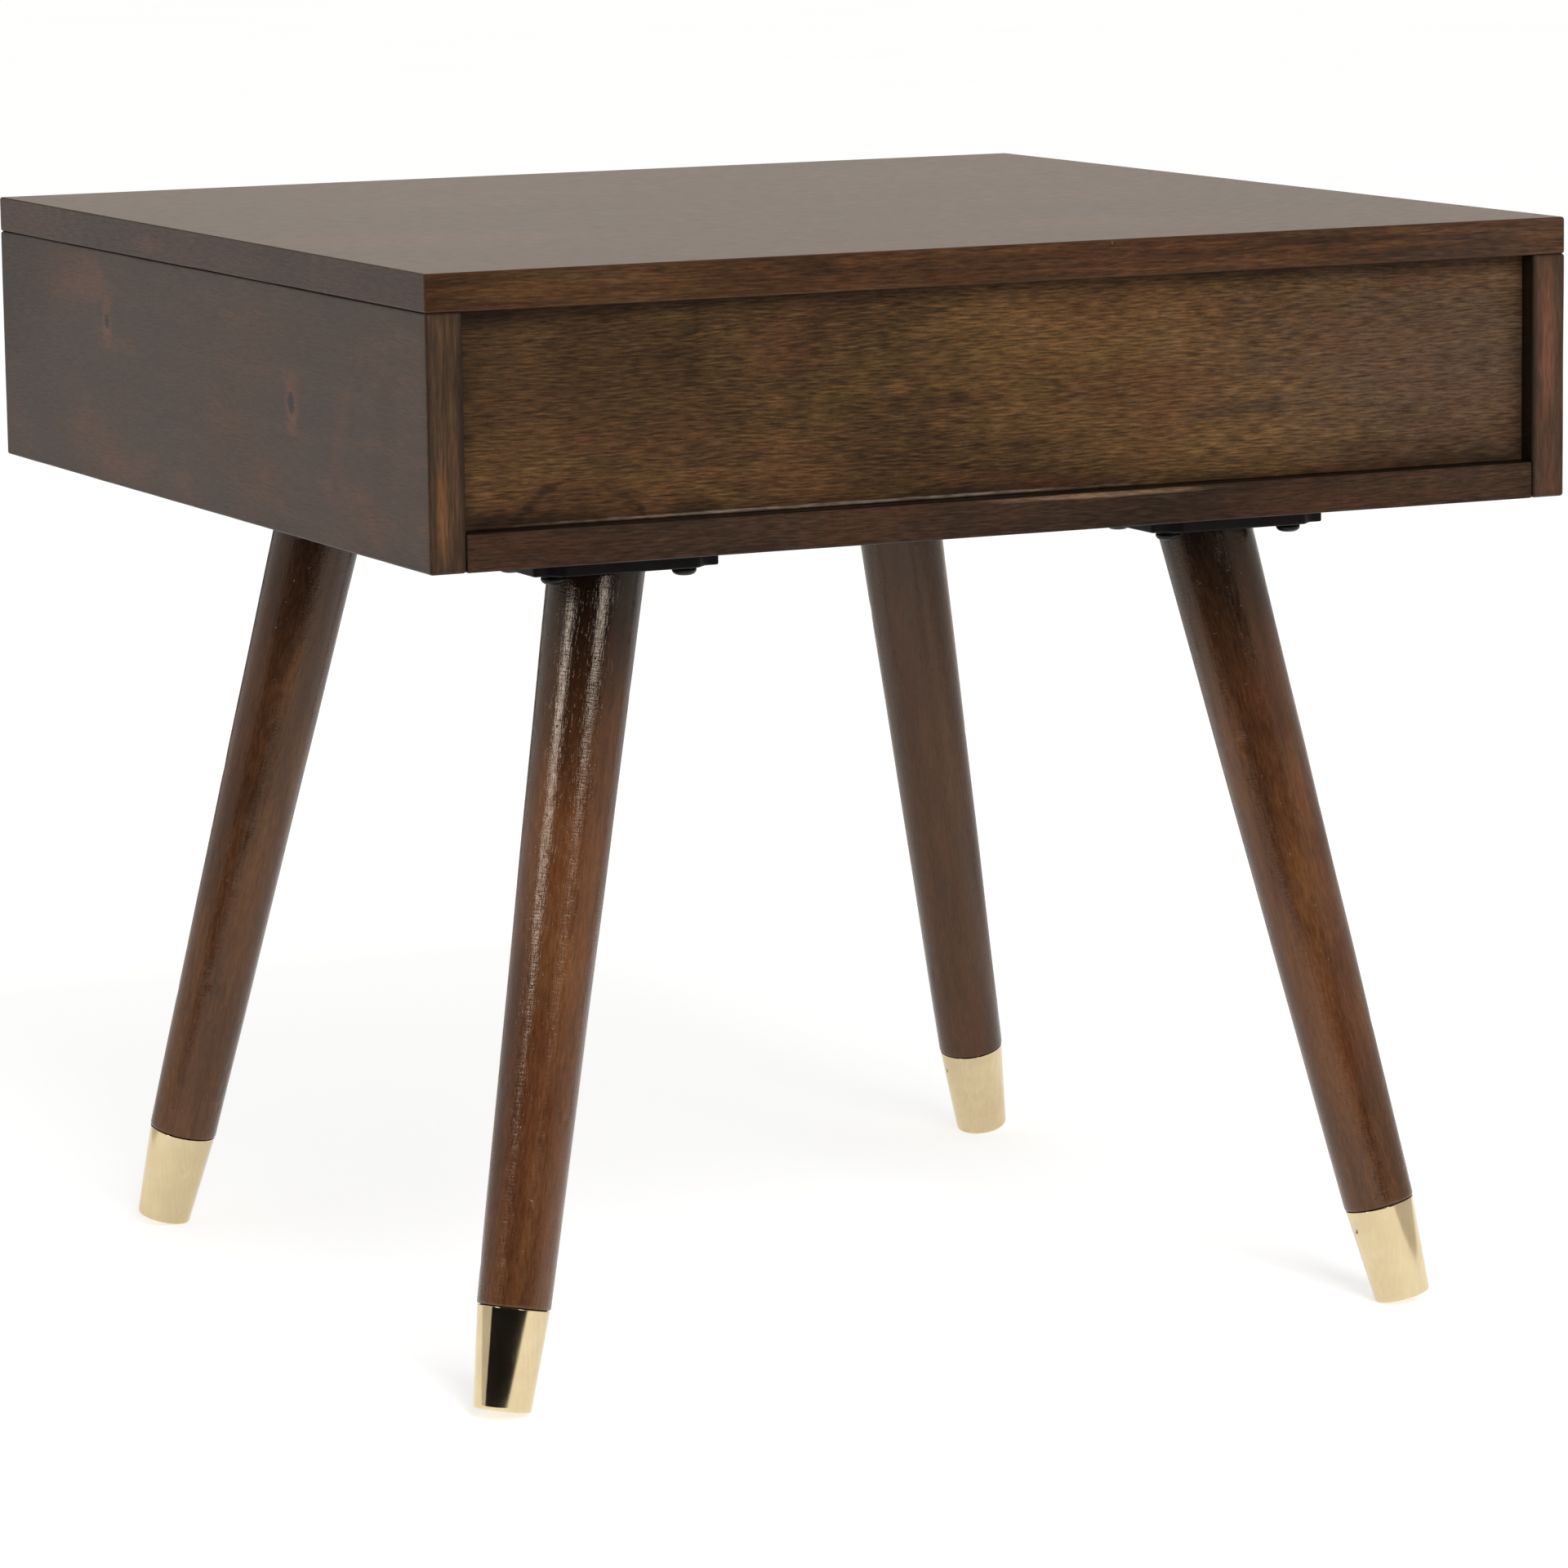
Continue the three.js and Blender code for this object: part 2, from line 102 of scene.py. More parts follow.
# A board: every point of a box's six faces is drawn back to the inner box, then pushed out again by the
# arris radius. Faces stay flat and edges and corners come out round. The grain runs along each face.
def boardObject(name, low, high, arris, seed, pitch=0.015, wave=0.25, reach=0.012):
    low, high = np.array(low), np.array(high)
    centre, half = (low + high) / 2, (high - low) / 2
    turn = arris * np.tan(np.radians([45, 34, 23, 11.5, 0]))
    lines = []
    for h in half:
        flat = h - arris
        inner = flat - np.array([0.0003, 0.001, 0.0022, 0.0045, 0.009, 0.016])
        inner = inner[inner > 0.0006]
        middle = np.linspace(-inner[-1], inner[-1], max(2, int(round(2 * inner[-1] / pitch)) + 1))[1:-1]
        side = np.concatenate([flat + turn, inner])
        lines.append(np.unique(np.round(np.concatenate([-side, middle, side]), 7)))
    cube, faces, grains, start = [], [], [], 0
    for axis in range(3):
        b, c = (axis + 1) % 3, (axis + 2) % 3
        along, across = (b, c) if half[b] >= half[c] else (c, b)
        for sign in (-1, 1):
            u, v = np.meshgrid(lines[b], lines[c], indexing="ij")
            p = np.empty(u.shape + (3,))
            p[..., axis], p[..., b], p[..., c] = sign * half[axis], u, v
            p = p.reshape(-1, 3)
            quads = gridFaces(len(lines[b]), len(lines[c])) + start
            quads = quads if sign < 0 else quads[:, ::-1]
            depth = np.full(len(p), seed + 0.1 * (2 * axis + (sign > 0)))
            cube.append(p)
            faces.append(quads)
            grains.append(np.stack([p[:, along], p[:, across], depth], -1))
            start += len(p)
    cube, faces, grains = np.concatenate(cube), np.concatenate(faces), np.concatenate(grains)
    cornerGrain = grains[faces.ravel()]
    _, first, back = np.unique(np.round(cube, 7), axis=0, return_index=True, return_inverse=True)
    cube, faces = cube[first], back.reshape(-1)[faces]
    radius = (arris * (1 + wave * ripple(cube.T, (0.05, 0.05, 0.05), seed * 100)))[:, None]
    inner = np.clip(cube, radius - half, half - radius)
    out = cube - inner
    points = inner + radius * out / np.maximum(np.linalg.norm(out, axis=1, keepdims=True), 1e-9)
    near = np.maximum(np.sort(half - np.abs(cube), axis=1)[:, 1], 0)
    layers = {
        "grain": cornerGrain,
        "edge": np.exp(-near / 0.0012),
        "border": np.exp(-((near / reach) ** 1.4)),
    }
    return meshObject(name, points + centre, [faces], layers)


# Corners of a path rounded off with a short curve: (1-t)^2 a + 2t(1-t) corner + t^2 b
def soften(path, size, steps=5, closed=False):
    path = np.array(path, float)
    size = np.broadcast_to(size, len(path))[:, None, None]
    before, after = np.roll(path, 1, 0), np.roll(path, -1, 0)
    a = (before - path) / np.linalg.norm(before - path, axis=1, keepdims=True)
    b = (after - path) / np.linalg.norm(after - path, axis=1, keepdims=True)
    t = np.linspace(0, 1, steps)[None, :, None]
    c = path[:, None, :]
    bend = (1 - t) ** 2 * (c + a[:, None] * size) + 2 * t * (1 - t) * c + t ** 2 * (c + b[:, None] * size)
    rounded = np.concatenate([c + a[:, None] * size * 1.25, bend, c + b[:, None] * size * 1.25], axis=1)
    if closed:
        return rounded.reshape(-1, 2)
    return np.concatenate([path[:1], rounded[1:-1].reshape(-1, 2), path[-1:]])


# A turned piece: point(row, a) = origin + along * axis + radius * (cos a * side + sin a * across).
# radius and along are rows x cols; the first and last rows close on the axis.
def turnedObject(name, radius, along, origin, axis, side, layers=None):
    rows, cols = radius.shape
    axis = np.array(axis, float) / np.linalg.norm(axis)
    side = np.array(side, float) - np.dot(side, axis) * axis
    side = side / np.linalg.norm(side)
    across = np.cross(axis, side)
    angle = np.linspace(0, 2 * math.pi, cols, endpoint=False)[None, :, None]
    ring = np.cos(angle) * side + np.sin(angle) * across
    points = np.array(origin) + along[..., None] * axis + radius[..., None] * ring
    points = points.reshape(-1, 3)
    ends = np.array([origin + along[0].mean() * axis, origin + along[-1].mean() * axis])
    c = np.arange(cols)
    n = (c + 1) % cols
    last = (rows - 1) * cols
    low = np.stack([np.full(cols, rows * cols), n, c], -1)
    high = np.stack([np.full(cols, rows * cols + 1), last + c, last + n], -1)
    points = np.concatenate([points, ends])
    return meshObject(name, points, [gridFaces(rows, cols, True), low, high], layers)


# an outline profile [[radius, along], ...] spread round the axis
def turnedProfile(name, profile, origin, axis, side, cols=48):
    radius = np.repeat(profile[1:-1, :1], cols, 1)
    along = np.repeat(profile[1:-1, 1:], cols, 1)
    return turnedObject(name, radius, along, origin, axis, side)


# A flat plate: a star-shaped outline carried up through its thickness, drawn in by the arris at both faces
def plateObject(name, outline, origin, low, high, arris):
    back, ahead = np.roll(outline, 1, 0), np.roll(outline, -1, 0)
    tangent = (ahead - back) / np.linalg.norm(ahead - back, axis=1, keepdims=True)
    normal = np.stack([tangent[:, 1], -tangent[:, 0]], -1)
    turn = np.radians([0, 22.5, 45, 67.5, 90])
    inset = arris * (1 - np.sin(turn))
    rise = arris * (1 - np.cos(turn))
    inset = np.concatenate([[arris * 8, arris * 1.3], inset, inset[::-1], [arris * 1.3, arris * 8]])
    z = np.concatenate([[low, low], low + rise, (high - rise)[::-1], [high, high]])
    ring = outline[None] - normal[None] * inset[:, None, None]
    points = np.concatenate([ring, np.broadcast_to(z[:, None, None], ring.shape[:2] + (1,))], -1)
    rows, cols = ring.shape[:2]
    points = np.concatenate([points.reshape(-1, 3), [[0, 0, low], [0, 0, high]]])
    points = points + np.array([origin[0], origin[1], 0])
    c = np.arange(cols)
    n = (c + 1) % cols
    last = (rows - 1) * cols
    bottom = np.stack([np.full(cols, rows * cols), n, c], -1)
    top = np.stack([np.full(cols, rows * cols + 1), last + c, last + n], -1)
    return meshObject(name, points, [gridFaces(rows, cols, True), bottom, top])


# A folded sheet: a centre line in X and Z, thickened both ways, carried along Y.
# press(x, y, z) moves both faces together, for pressed beads and dimples.
def channelObject(name, line, sheet, yLines, press):
    tangent = np.gradient(line, axis=0)
    tangent = tangent / np.linalg.norm(tangent, axis=1, keepdims=True)
    normal = np.stack([tangent[:, 1], -tangent[:, 0]], -1)
    loop = np.concatenate([line + normal * sheet / 2, (line - normal * sheet / 2)[::-1]])
    n = len(line)
    rows, cols = len(yLines), 2 * n
    y = np.repeat(yLines[:, None], cols, 1)
    x, z = np.repeat(loop[None, :, 0], rows, 0), np.repeat(loop[None, :, 1], rows, 0)
    centreLine = np.concatenate([line, line[::-1]])
    x = x + press(centreLine[None, :, 0], y, centreLine[None, :, 1])
    points = np.stack([x, y, z], -1).reshape(-1, 3)
    i = np.arange(n - 1)
    front = np.stack([i, i + 1, 2 * n - 2 - i, 2 * n - 1 - i], -1)
    rear = front[:, ::-1] + (rows - 1) * cols
    faces = np.concatenate([gridFaces(rows, cols, True), front, rear])
    return meshObject(name, points, [faces])


# one node with its settings; a socket given as a feed is linked, anything else is its value
def put(tree, kind, feeds=None, **settings):
    made = tree.nodes.new(kind)
    for key, value in settings.items():
        setattr(made, key, value)
    for key, value in (feeds or {}).items():
        if isinstance(value, bpy.types.NodeSocket):
            tree.links.new(value, made.inputs[key])
        else:
            made.inputs[key].default_value = value
    return made


def calc(tree, operation, a, b=0.0, c=0.0):
    return put(tree, "ShaderNodeMath", {0: a, 1: b, 2: c}, operation=operation).outputs[0]


def vectorCalc(tree, operation, a, b=(0, 0, 0)):
    made = put(tree, "ShaderNodeVectorMath", {0: a, 1: b}, operation=operation)
    return made.outputs["Value" if operation in ("LENGTH", "DOT_PRODUCT") else "Vector"]


def noise(tree, at, scale, detail=2.0, rough=0.5, twist=0.0):
    scaled = vectorCalc(tree, "MULTIPLY", at, scale)
    feeds = {"Vector": scaled, "Scale": 1.0, "Detail": detail, "Roughness": rough, "Distortion": twist}
    return put(tree, "ShaderNodeTexNoise", feeds).outputs["Fac"]


# low to high becomes 0 to 1, or the two ends given
def spread(tree, value, low, high, toLow=0.0, toHigh=1.0):
    feeds = {"Value": value, "From Min": low, "From Max": high, "To Min": toLow, "To Max": toHigh}
    return put(tree, "ShaderNodeMapRange", feeds, interpolation_type="SMOOTHSTEP").outputs[0]


def blend(tree, share, a, b, way="MIX"):
    feeds = {0: share, 6: a, 7: b}
    made = put(tree, "ShaderNodeMix", feeds, data_type="RGBA", blend_type=way, clamp_factor=True)
    return made.outputs[2]


# a screen colour in 0-255 steps as the linear colour that nodes take
def tint(red, green, blue):
    c = np.array([red, green, blue]) / 255
    linear = np.where(c <= 0.04045, c / 12.92, ((c + 0.055) / 1.055) ** 2.4)
    return (*map(float, linear), 1.0)


def ramp(tree, share, colours):
    made = put(tree, "ShaderNodeValToRGB", {"Fac": share})
    stops = made.color_ramp.elements
    while len(stops) < len(colours):
        stops.new(0.5)
    for i, colour in enumerate(colours):
        stops[i].position = i / (len(colours) - 1)
        stops[i].color = colour
    return made.outputs["Color"]


# a finish with its uniform values on the shader's own sockets
def newFinish(name, look):
    material = bpy.data.materials.new(name)
    material.use_nodes = True
    tree = material.node_tree
    skin = tree.nodes["Principled BSDF"]
    skin.inputs["Metallic"].default_value = look.get("metal", 0.0)
    skin.inputs["Specular IOR Level"].default_value = look.get("shine", 0.5)
    skin.inputs["Specular Tint"].default_value = (*look.get("shineTint", (1, 1, 1)), 1.0)
    return material, tree, skin


# Stained and lacquered wood. The grain attribute runs along X, across it on Y, and Z picks the piece of tree.
def woodFinish(name, look):
    material, tree, skin = newFinish(name, look)
    grain = put(tree, "ShaderNodeAttribute", attribute_name="grain").outputs["Vector"]
    edge = put(tree, "ShaderNodeAttribute", attribute_name="edge").outputs["Fac"]
    border = put(tree, "ShaderNodeAttribute", attribute_name="border").outputs["Fac"]
    wander = calc(tree, "SUBTRACT", noise(tree, grain, (5, 14, 14), 2), 0.5)
    bend = put(tree, "ShaderNodeCombineXYZ", {"Y": calc(tree, "MULTIPLY", wander, look["wander"])}).outputs[0]
    fibre = vectorCalc(tree, "ADD", grain, bend)
    cloud = spread(tree, noise(tree, grain, look["cloudScale"], 3, 0.55), 0.3, 0.7)
    stripe = spread(tree, noise(tree, fibre, look["stripeScale"], 4, 0.6), 0.3, 0.7)
    fleck = spread(tree, noise(tree, fibre, look["fleckScale"], 3, 0.6), 0.32, 0.68)
    pore = spread(tree, noise(tree, fibre, look["poreScale"], 2, 0.5), 0.58, 0.72)

    # growth rings, cut at a slant so that they close into long arches
    parts = put(tree, "ShaderNodeSeparateXYZ", {0: fibre}).outputs
    slant = calc(tree, "MULTIPLY_ADD", parts[0], look["ringSlant"], look["ringDepth"])
    aside = calc(tree, "SUBTRACT", parts[1], look["ringSide"])
    square = calc(tree, "MULTIPLY_ADD", aside, aside, calc(tree, "MULTIPLY", slant, slant))
    reach = calc(tree, "SQRT", square)
    shake = noise(tree, grain, (9, 45, 9), 3, 0.6)  # unevenness of the rings
    turn = calc(tree, "MULTIPLY_ADD", reach, 2 * math.pi / look["ringPitch"], calc(tree, "MULTIPLY", shake, 9.0))
    ring = spread(tree, calc(tree, "SINE", turn), 0.35, 1.0)
    ringHere = spread(tree, noise(tree, grain, (6, 10, 10), 2), 0.42, 0.62)
    ring = calc(tree, "MULTIPLY", ring, ringHere)

    tone = calc(tree, "MULTIPLY", cloud, look["cloud"])
    tone = calc(tree, "MULTIPLY_ADD", stripe, look["stripe"], tone)
    tone = calc(tree, "MULTIPLY_ADD", fleck, look["fleck"], tone)
    tone = calc(tree, "MULTIPLY_ADD", ring, -look["ring"], tone)
    tone = calc(tree, "MULTIPLY_ADD", pore, -look["pore"], tone)
    colour = ramp(tree, tone, [tint(*c) for c in look["tones"]])

    # redder, golden and darker patches where the stain took differently
    for patch in look["patches"]:
        here = spread(tree, noise(tree, grain, patch["scale"], 4, 0.62, 0.5), patch["low"], patch["high"])
        streaky = spread(tree, stripe, 0.0, 1.0, 0.7, 1.0)
        here = calc(tree, "MULTIPLY", calc(tree, "MULTIPLY", here, streaky), patch["strength"])
        colour = blend(tree, here, colour, tint(*patch["tone"]))
    # knots, smears and growth lines of single boards, and on some looks painted shade and painted sheen; a mark with
    # a rim is only an outline
    for mark in look.get("marks", ()):
        at = vectorCalc(tree, "SUBTRACT", grain, mark["at"])
        far = vectorCalc(tree, "LENGTH", vectorCalc(tree, "DIVIDE", at, mark["size"]))
        rough = noise(tree, grain, mark.get("roughScale", (60, 160, 1)), 3, 0.6)
        far = calc(tree, "MULTIPLY_ADD", calc(tree, "SUBTRACT", rough, 0.5), mark.get("ragged", 1.0), far)
        if "rim" in mark:
            far = calc(tree, "DIVIDE", calc(tree, "ABSOLUTE", calc(tree, "SUBTRACT", far, 1.0)), mark["rim"])
        here = calc(tree, "MULTIPLY", spread(tree, far, 1.0, mark.get("core", 0.2)), mark["strength"])
        if "broken" in mark:
            here = calc(tree, "MULTIPLY", here, spread(tree, noise(tree, grain, mark["broken"], 3, 0.6), 0.4, 0.58))
        colour = blend(tree, here, colour, tint(*mark["tone"]))

    # light and dark fibres over every tone
    fine = noise(tree, fibre, look["fineScale"], 4, 0.7)
    fine = spread(tree, fine, 0.32, 0.68, 1 - look["fine"], 1 + look["fine"])
    colour = blend(tree, 1.0, colour, fine, "MULTIPLY")

    # painted shade: darker within reach of the edges and joints, strongest on the back panel under the tabletop and
    # on the legs under the blocks, fainter on the other boards
    borderNoise = noise(tree, grain, (30, 60, 60), 3, 0.6)
    jointShade = calc(tree, "MULTIPLY", border, spread(tree, borderNoise, 0.2, 0.75, look["jointShadeLow"], 1.0))
    jointShade = calc(tree, "MULTIPLY", jointShade, look["border"])
    colour = blend(tree, jointShade, colour, tint(*look["borderTone"]))
    # the arrises take the look's edge tone: lighter wear where the lacquer is thin, and on the case and bottom a dark
    # painted shade in the joint grooves
    arrisWearAndShade = calc(tree, "MULTIPLY", edge, spread(tree, noise(tree, grain, (90, 90, 90), 3, 0.6), 0.35, 0.7, 0.25, 1.0))
    colour = blend(tree, calc(tree, "MULTIPLY", arrisWearAndShade, look["edge"]), colour, tint(*look["edgeTone"]))
    tree.links.new(colour, skin.inputs["Base Color"])

    rough = calc(tree, "MULTIPLY_ADD", calc(tree, "SUBTRACT", fleck, 0.5), 0.08, look["roughness"])
    rough = calc(tree, "MULTIPLY_ADD", calc(tree, "SUBTRACT", cloud, 0.5), look["roughCloud"], rough)
    tree.links.new(rough, skin.inputs["Roughness"])
    peel = noise(tree, grain, look.get("peelScale", (130, 160, 160)), 2, 0.5)
    height = calc(tree, "MULTIPLY_ADD", pore, -0.8, calc(tree, "MULTIPLY", fleck, 0.5))
    height = calc(tree, "MULTIPLY_ADD", peel, look.get("peel", 0.6), height)
    knock = spread(tree, noise(tree, grain, (260, 300, 300), 2, 0.55), 0.66, 0.76)  # small knocks and pits
    height = calc(tree, "MULTIPLY_ADD", knock, -look.get("knock", 0.3), height)
    bump = put(tree, "ShaderNodeBump", {"Strength": look["bump"], "Distance": 0.00012, "Height": height})
    tree.links.new(bump.outputs[0], skin.inputs["Normal"])
    return material


# Plated, blackened or polished metal with fine handling marks, on Object coordinates
def metalFinish(name, look):
    material, tree, skin = newFinish(name, look)
    place = put(tree, "ShaderNodeTexCoord").outputs["Object"]
    cloud = spread(tree, noise(tree, place, (60, 60, 60), 3, 0.6), 0.35, 0.65)
    grit = spread(tree, noise(tree, place, look["gritScale"], 3, 0.6), 0.35, 0.65)
    colour = ramp(tree, calc(tree, "MULTIPLY_ADD", grit, 0.35, calc(tree, "MULTIPLY", cloud, 0.65)),
                  [tint(*c) for c in look["tones"]])
    tree.links.new(colour, skin.inputs["Base Color"])
    rough = calc(tree, "MULTIPLY_ADD", cloud, look["roughSpread"], look["roughness"])
    rough = calc(tree, "MULTIPLY_ADD", grit, look["roughSpread"] * 0.6, rough)
    tree.links.new(rough, skin.inputs["Roughness"])
    bump = put(tree, "ShaderNodeBump", {"Strength": look["bump"], "Distance": 0.00008, "Height": grit})
    tree.links.new(bump.outputs[0], skin.inputs["Normal"])
    return material


print("finishes")
woodBase = dict(
    wander=0.010, cloudScale=(7, 11, 9), stripeScale=(5, 90, 60), fleckScale=(95, 950, 900),
    poreScale=(70, 1300, 1300), fineScale=(95, 900, 860), fine=0.25, jointShadeLow=0.35, cloud=0.42, stripe=0.22,
    fleck=0.36, ring=0.10, pore=0.22,
    ringPitch=0.009, ringDepth=0.05, ringSlant=0.16, ringSide=0.02, patches=[], border=0.3,
    borderTone=(26, 18, 12), edge=0.35, edgeTone=(88, 60, 38), roughness=0.42, roughCloud=0.05, shine=0.25,
    shineTint=(1.0, 0.88, 0.8), bump=0.35,
)
topLook = dict(
    woodBase, tones=[(38, 23, 12), (50, 30, 16), (64, 40, 21), (80, 52, 29)],
    patches=[dict(scale=(6, 14, 9), low=0.45, high=0.7, strength=0.5, tone=(84, 40, 20)),
             dict(scale=(9, 30, 9), low=0.52, high=0.7, strength=0.45, tone=(42, 26, 14)),
             dict(scale=(7, 20, 11), low=0.55, high=0.72, strength=0.4, tone=(74, 54, 24))],
    # painted sheen: a grey tint over the tabletop's +X edge
    marks=[dict(at=(0, 0, 0.4), size=(1, 1, 0.04), tone=(70, 54, 46), strength=0.35, core=0.9),
           dict(at=(-0.069, -0.0016, 0.4), size=(0.03, 0.007, 0.04), tone=(96, 58, 38), strength=0.5),
           dict(at=(-0.0501, 0.0076, 0.6), size=(0.0005, 0.0014, 0.04), tone=(150, 126, 100),
                strength=0.8, ragged=0.4),
           # painted sheen: a grey haze at the -X end of the tabletop's back edge
           dict(at=(-0.27, 0, 0.6), size=(0.13, 0.05, 0.04), tone=(74, 58, 50), strength=0.4, core=0.0),
           dict(at=(0.22, 0, 0.6), size=(0.09, 0.02, 0.04), tone=(74, 58, 34), strength=0.5, ragged=0.9,
                roughScale=(20, 300, 1)),
           dict(at=(0.20, -0.002, 0.6), size=(0.05, 0.003, 0.04), tone=(36, 20, 10), strength=0.5),
           dict(at=(0, 0, 0.6), size=(1, 1, 0.04), tone=(98, 60, 28), strength=0.3, core=0.9, broken=(13, 260, 1)),
           dict(at=(0, 0, 0.6), size=(1, 1, 0.04), tone=(30, 17, 8), strength=0.4, core=0.9, broken=(22, 420, 1)),
           dict(at=(-0.17, 0.003, 0.6), size=(0.07, 0.0016, 0.04), tone=(34, 18, 10), strength=0.6, ragged=1.3,
                roughScale=(30, 500, 1))],
    cloud=0.35, border=0.25, roughness=0.36, roughCloud=0.0, bump=0.1, peel=0.25, edge=0.3, edgeTone=(84, 56, 32),
    ring=0.05, pore=0.22, fine=0.42, shine=0.21, fleck=0.42, stripe=0.34,
)
caseLook = dict(
    woodBase, tones=[(42, 28, 19), (56, 39, 28), (68, 49, 36), (80, 58, 42)],
    patches=[dict(scale=(9, 16, 9), low=0.48, high=0.72, strength=0.55, tone=(100, 56, 31)),
             dict(scale=(7, 9, 9), low=0.45, high=0.7, strength=0.5, tone=(42, 30, 23)),
             dict(scale=(14, 60, 9), low=0.5, high=0.72, strength=0.35, tone=(98, 64, 36))],
    marks=[dict(at=(0, 0, 2.4), size=(1, 1, 0.04), tone=(74, 50, 23), strength=0.6, ragged=1.1,
                roughScale=(14, 190, 1), core=0.5, broken=(12, 150, 1)),
           dict(at=(0, 0, 2.4), size=(1, 1, 0.04), tone=(32, 21, 13), strength=0.55, broken=(26, 520, 1), core=0.9),
           dict(at=(0, 0, 1.5), size=(1, 1, 0.04), tone=(44, 27, 22), strength=0.45, broken=(30, 260, 1), core=0.9),
           dict(at=(0.02, 0.001, 1.5), size=(0.05, 0.006, 0.04), tone=(112, 66, 44), strength=0.5, ragged=1.2,
                roughScale=(40, 300, 1)),
           dict(at=(-0.03, 0.003, 2.4), size=(0.03, 0.004, 0.04), tone=(112, 70, 34), strength=0.55, ragged=1.2,
                roughScale=(60, 400, 1)),
           dict(at=(0, 0, 1.5), size=(1, 1, 0.04), tone=(78, 45, 28), strength=0.7, ragged=1.1,
                roughScale=(14, 190, 1), core=0.5, broken=(12, 150, 1)),
           dict(at=(-0.133, 0.0232, 2.2), size=(0.010, 0.017, 0.04), tone=(108, 62, 36), strength=0.6, ragged=1.0),
           dict(at=(-0.133, 0.0242, 2.2), size=(0.0046, 0.0046, 0.04), tone=(24, 20, 19), strength=0.95, ragged=0.7,
                core=0.55),
           dict(at=(0.1283, 0.003, 2.2), size=(0.012, 0.020, 0.04), tone=(106, 62, 38), strength=0.6, ragged=1.0),
           dict(at=(0.1275, 0.0045, 2.2), size=(0.0056, 0.0062, 0.04), tone=(22, 19, 19), strength=0.95, ragged=0.7,
                core=0.55),
           # painted shade: the -Y end of the right side panel's outer face darker, for the weaker sheen there
           dict(at=(-0.3, 0.02, 2.2), size=(0.16, 0.12, 0.04), tone=(30, 19, 14), strength=0.6, ragged=0.5, core=0.0),
           # painted shade: near-black lines along the inner arris of each side panel's back edge, beside the recessed
           # back panel
           dict(at=(0, -0.0088, 2.4), size=(0.2, 0.0036, 0.04), tone=(24, 16, 10), strength=0.85, ragged=0.5),
           dict(at=(0, 0.0088, 1.5), size=(0.2, 0.0030, 0.04), tone=(24, 16, 10), strength=0.7, ragged=0.5),
           # painted shade: near-black strips on the side panels' inner faces behind the back panel, in the recess
           dict(at=(0.295, 0, 1.3), size=(0.0145, 1, 0.04), tone=(15, 10, 6), strength=0.95, ragged=0.3, core=0.8),
           dict(at=(0.295, 0, 2.1), size=(0.0145, 1, 0.04), tone=(15, 10, 6), strength=0.95, ragged=0.3, core=0.8)],
    # edge and edgeTone: dark arrises, painted shade in the joint grooves
    cloud=0.45, roughness=0.42, bump=0.2, border=0.35, edge=0.8, edgeTone=(28, 18, 11), fine=0.25, shine=0.33,
    shineTint=(1.0, 0.8, 0.66),
)
bottomLook = dict(
    woodBase, tones=[(28, 19, 13), (41, 28, 19), (56, 39, 26), (72, 50, 33)],
    patches=[dict(scale=(10, 40, 9), low=0.48, high=0.7, strength=0.5, tone=(76, 43, 25)),
             dict(scale=(16, 70, 9), low=0.55, high=0.72, strength=0.5, tone=(28, 21, 16))],
    marks=[dict(at=(-0.04, 0.0072, 3.7), size=(0.078, 0.0018, 0.04), tone=(124, 98, 74), strength=0.9, ragged=1.1,
                roughScale=(40, 700, 1)),
           # painted shade: a near-black strip on the bottom board's top face behind the back panel, in the recess
           dict(at=(0.295, 0, 3.9), size=(0.0145, 1, 0.04), tone=(18, 12, 8), strength=0.95, ragged=0.3, core=0.8)],
    # edge and edgeTone: dark arrises, painted shade in the joint grooves
    border=0.4, edge=0.4, edgeTone=(28, 18, 12), fine=0.4, shine=0.13,
)
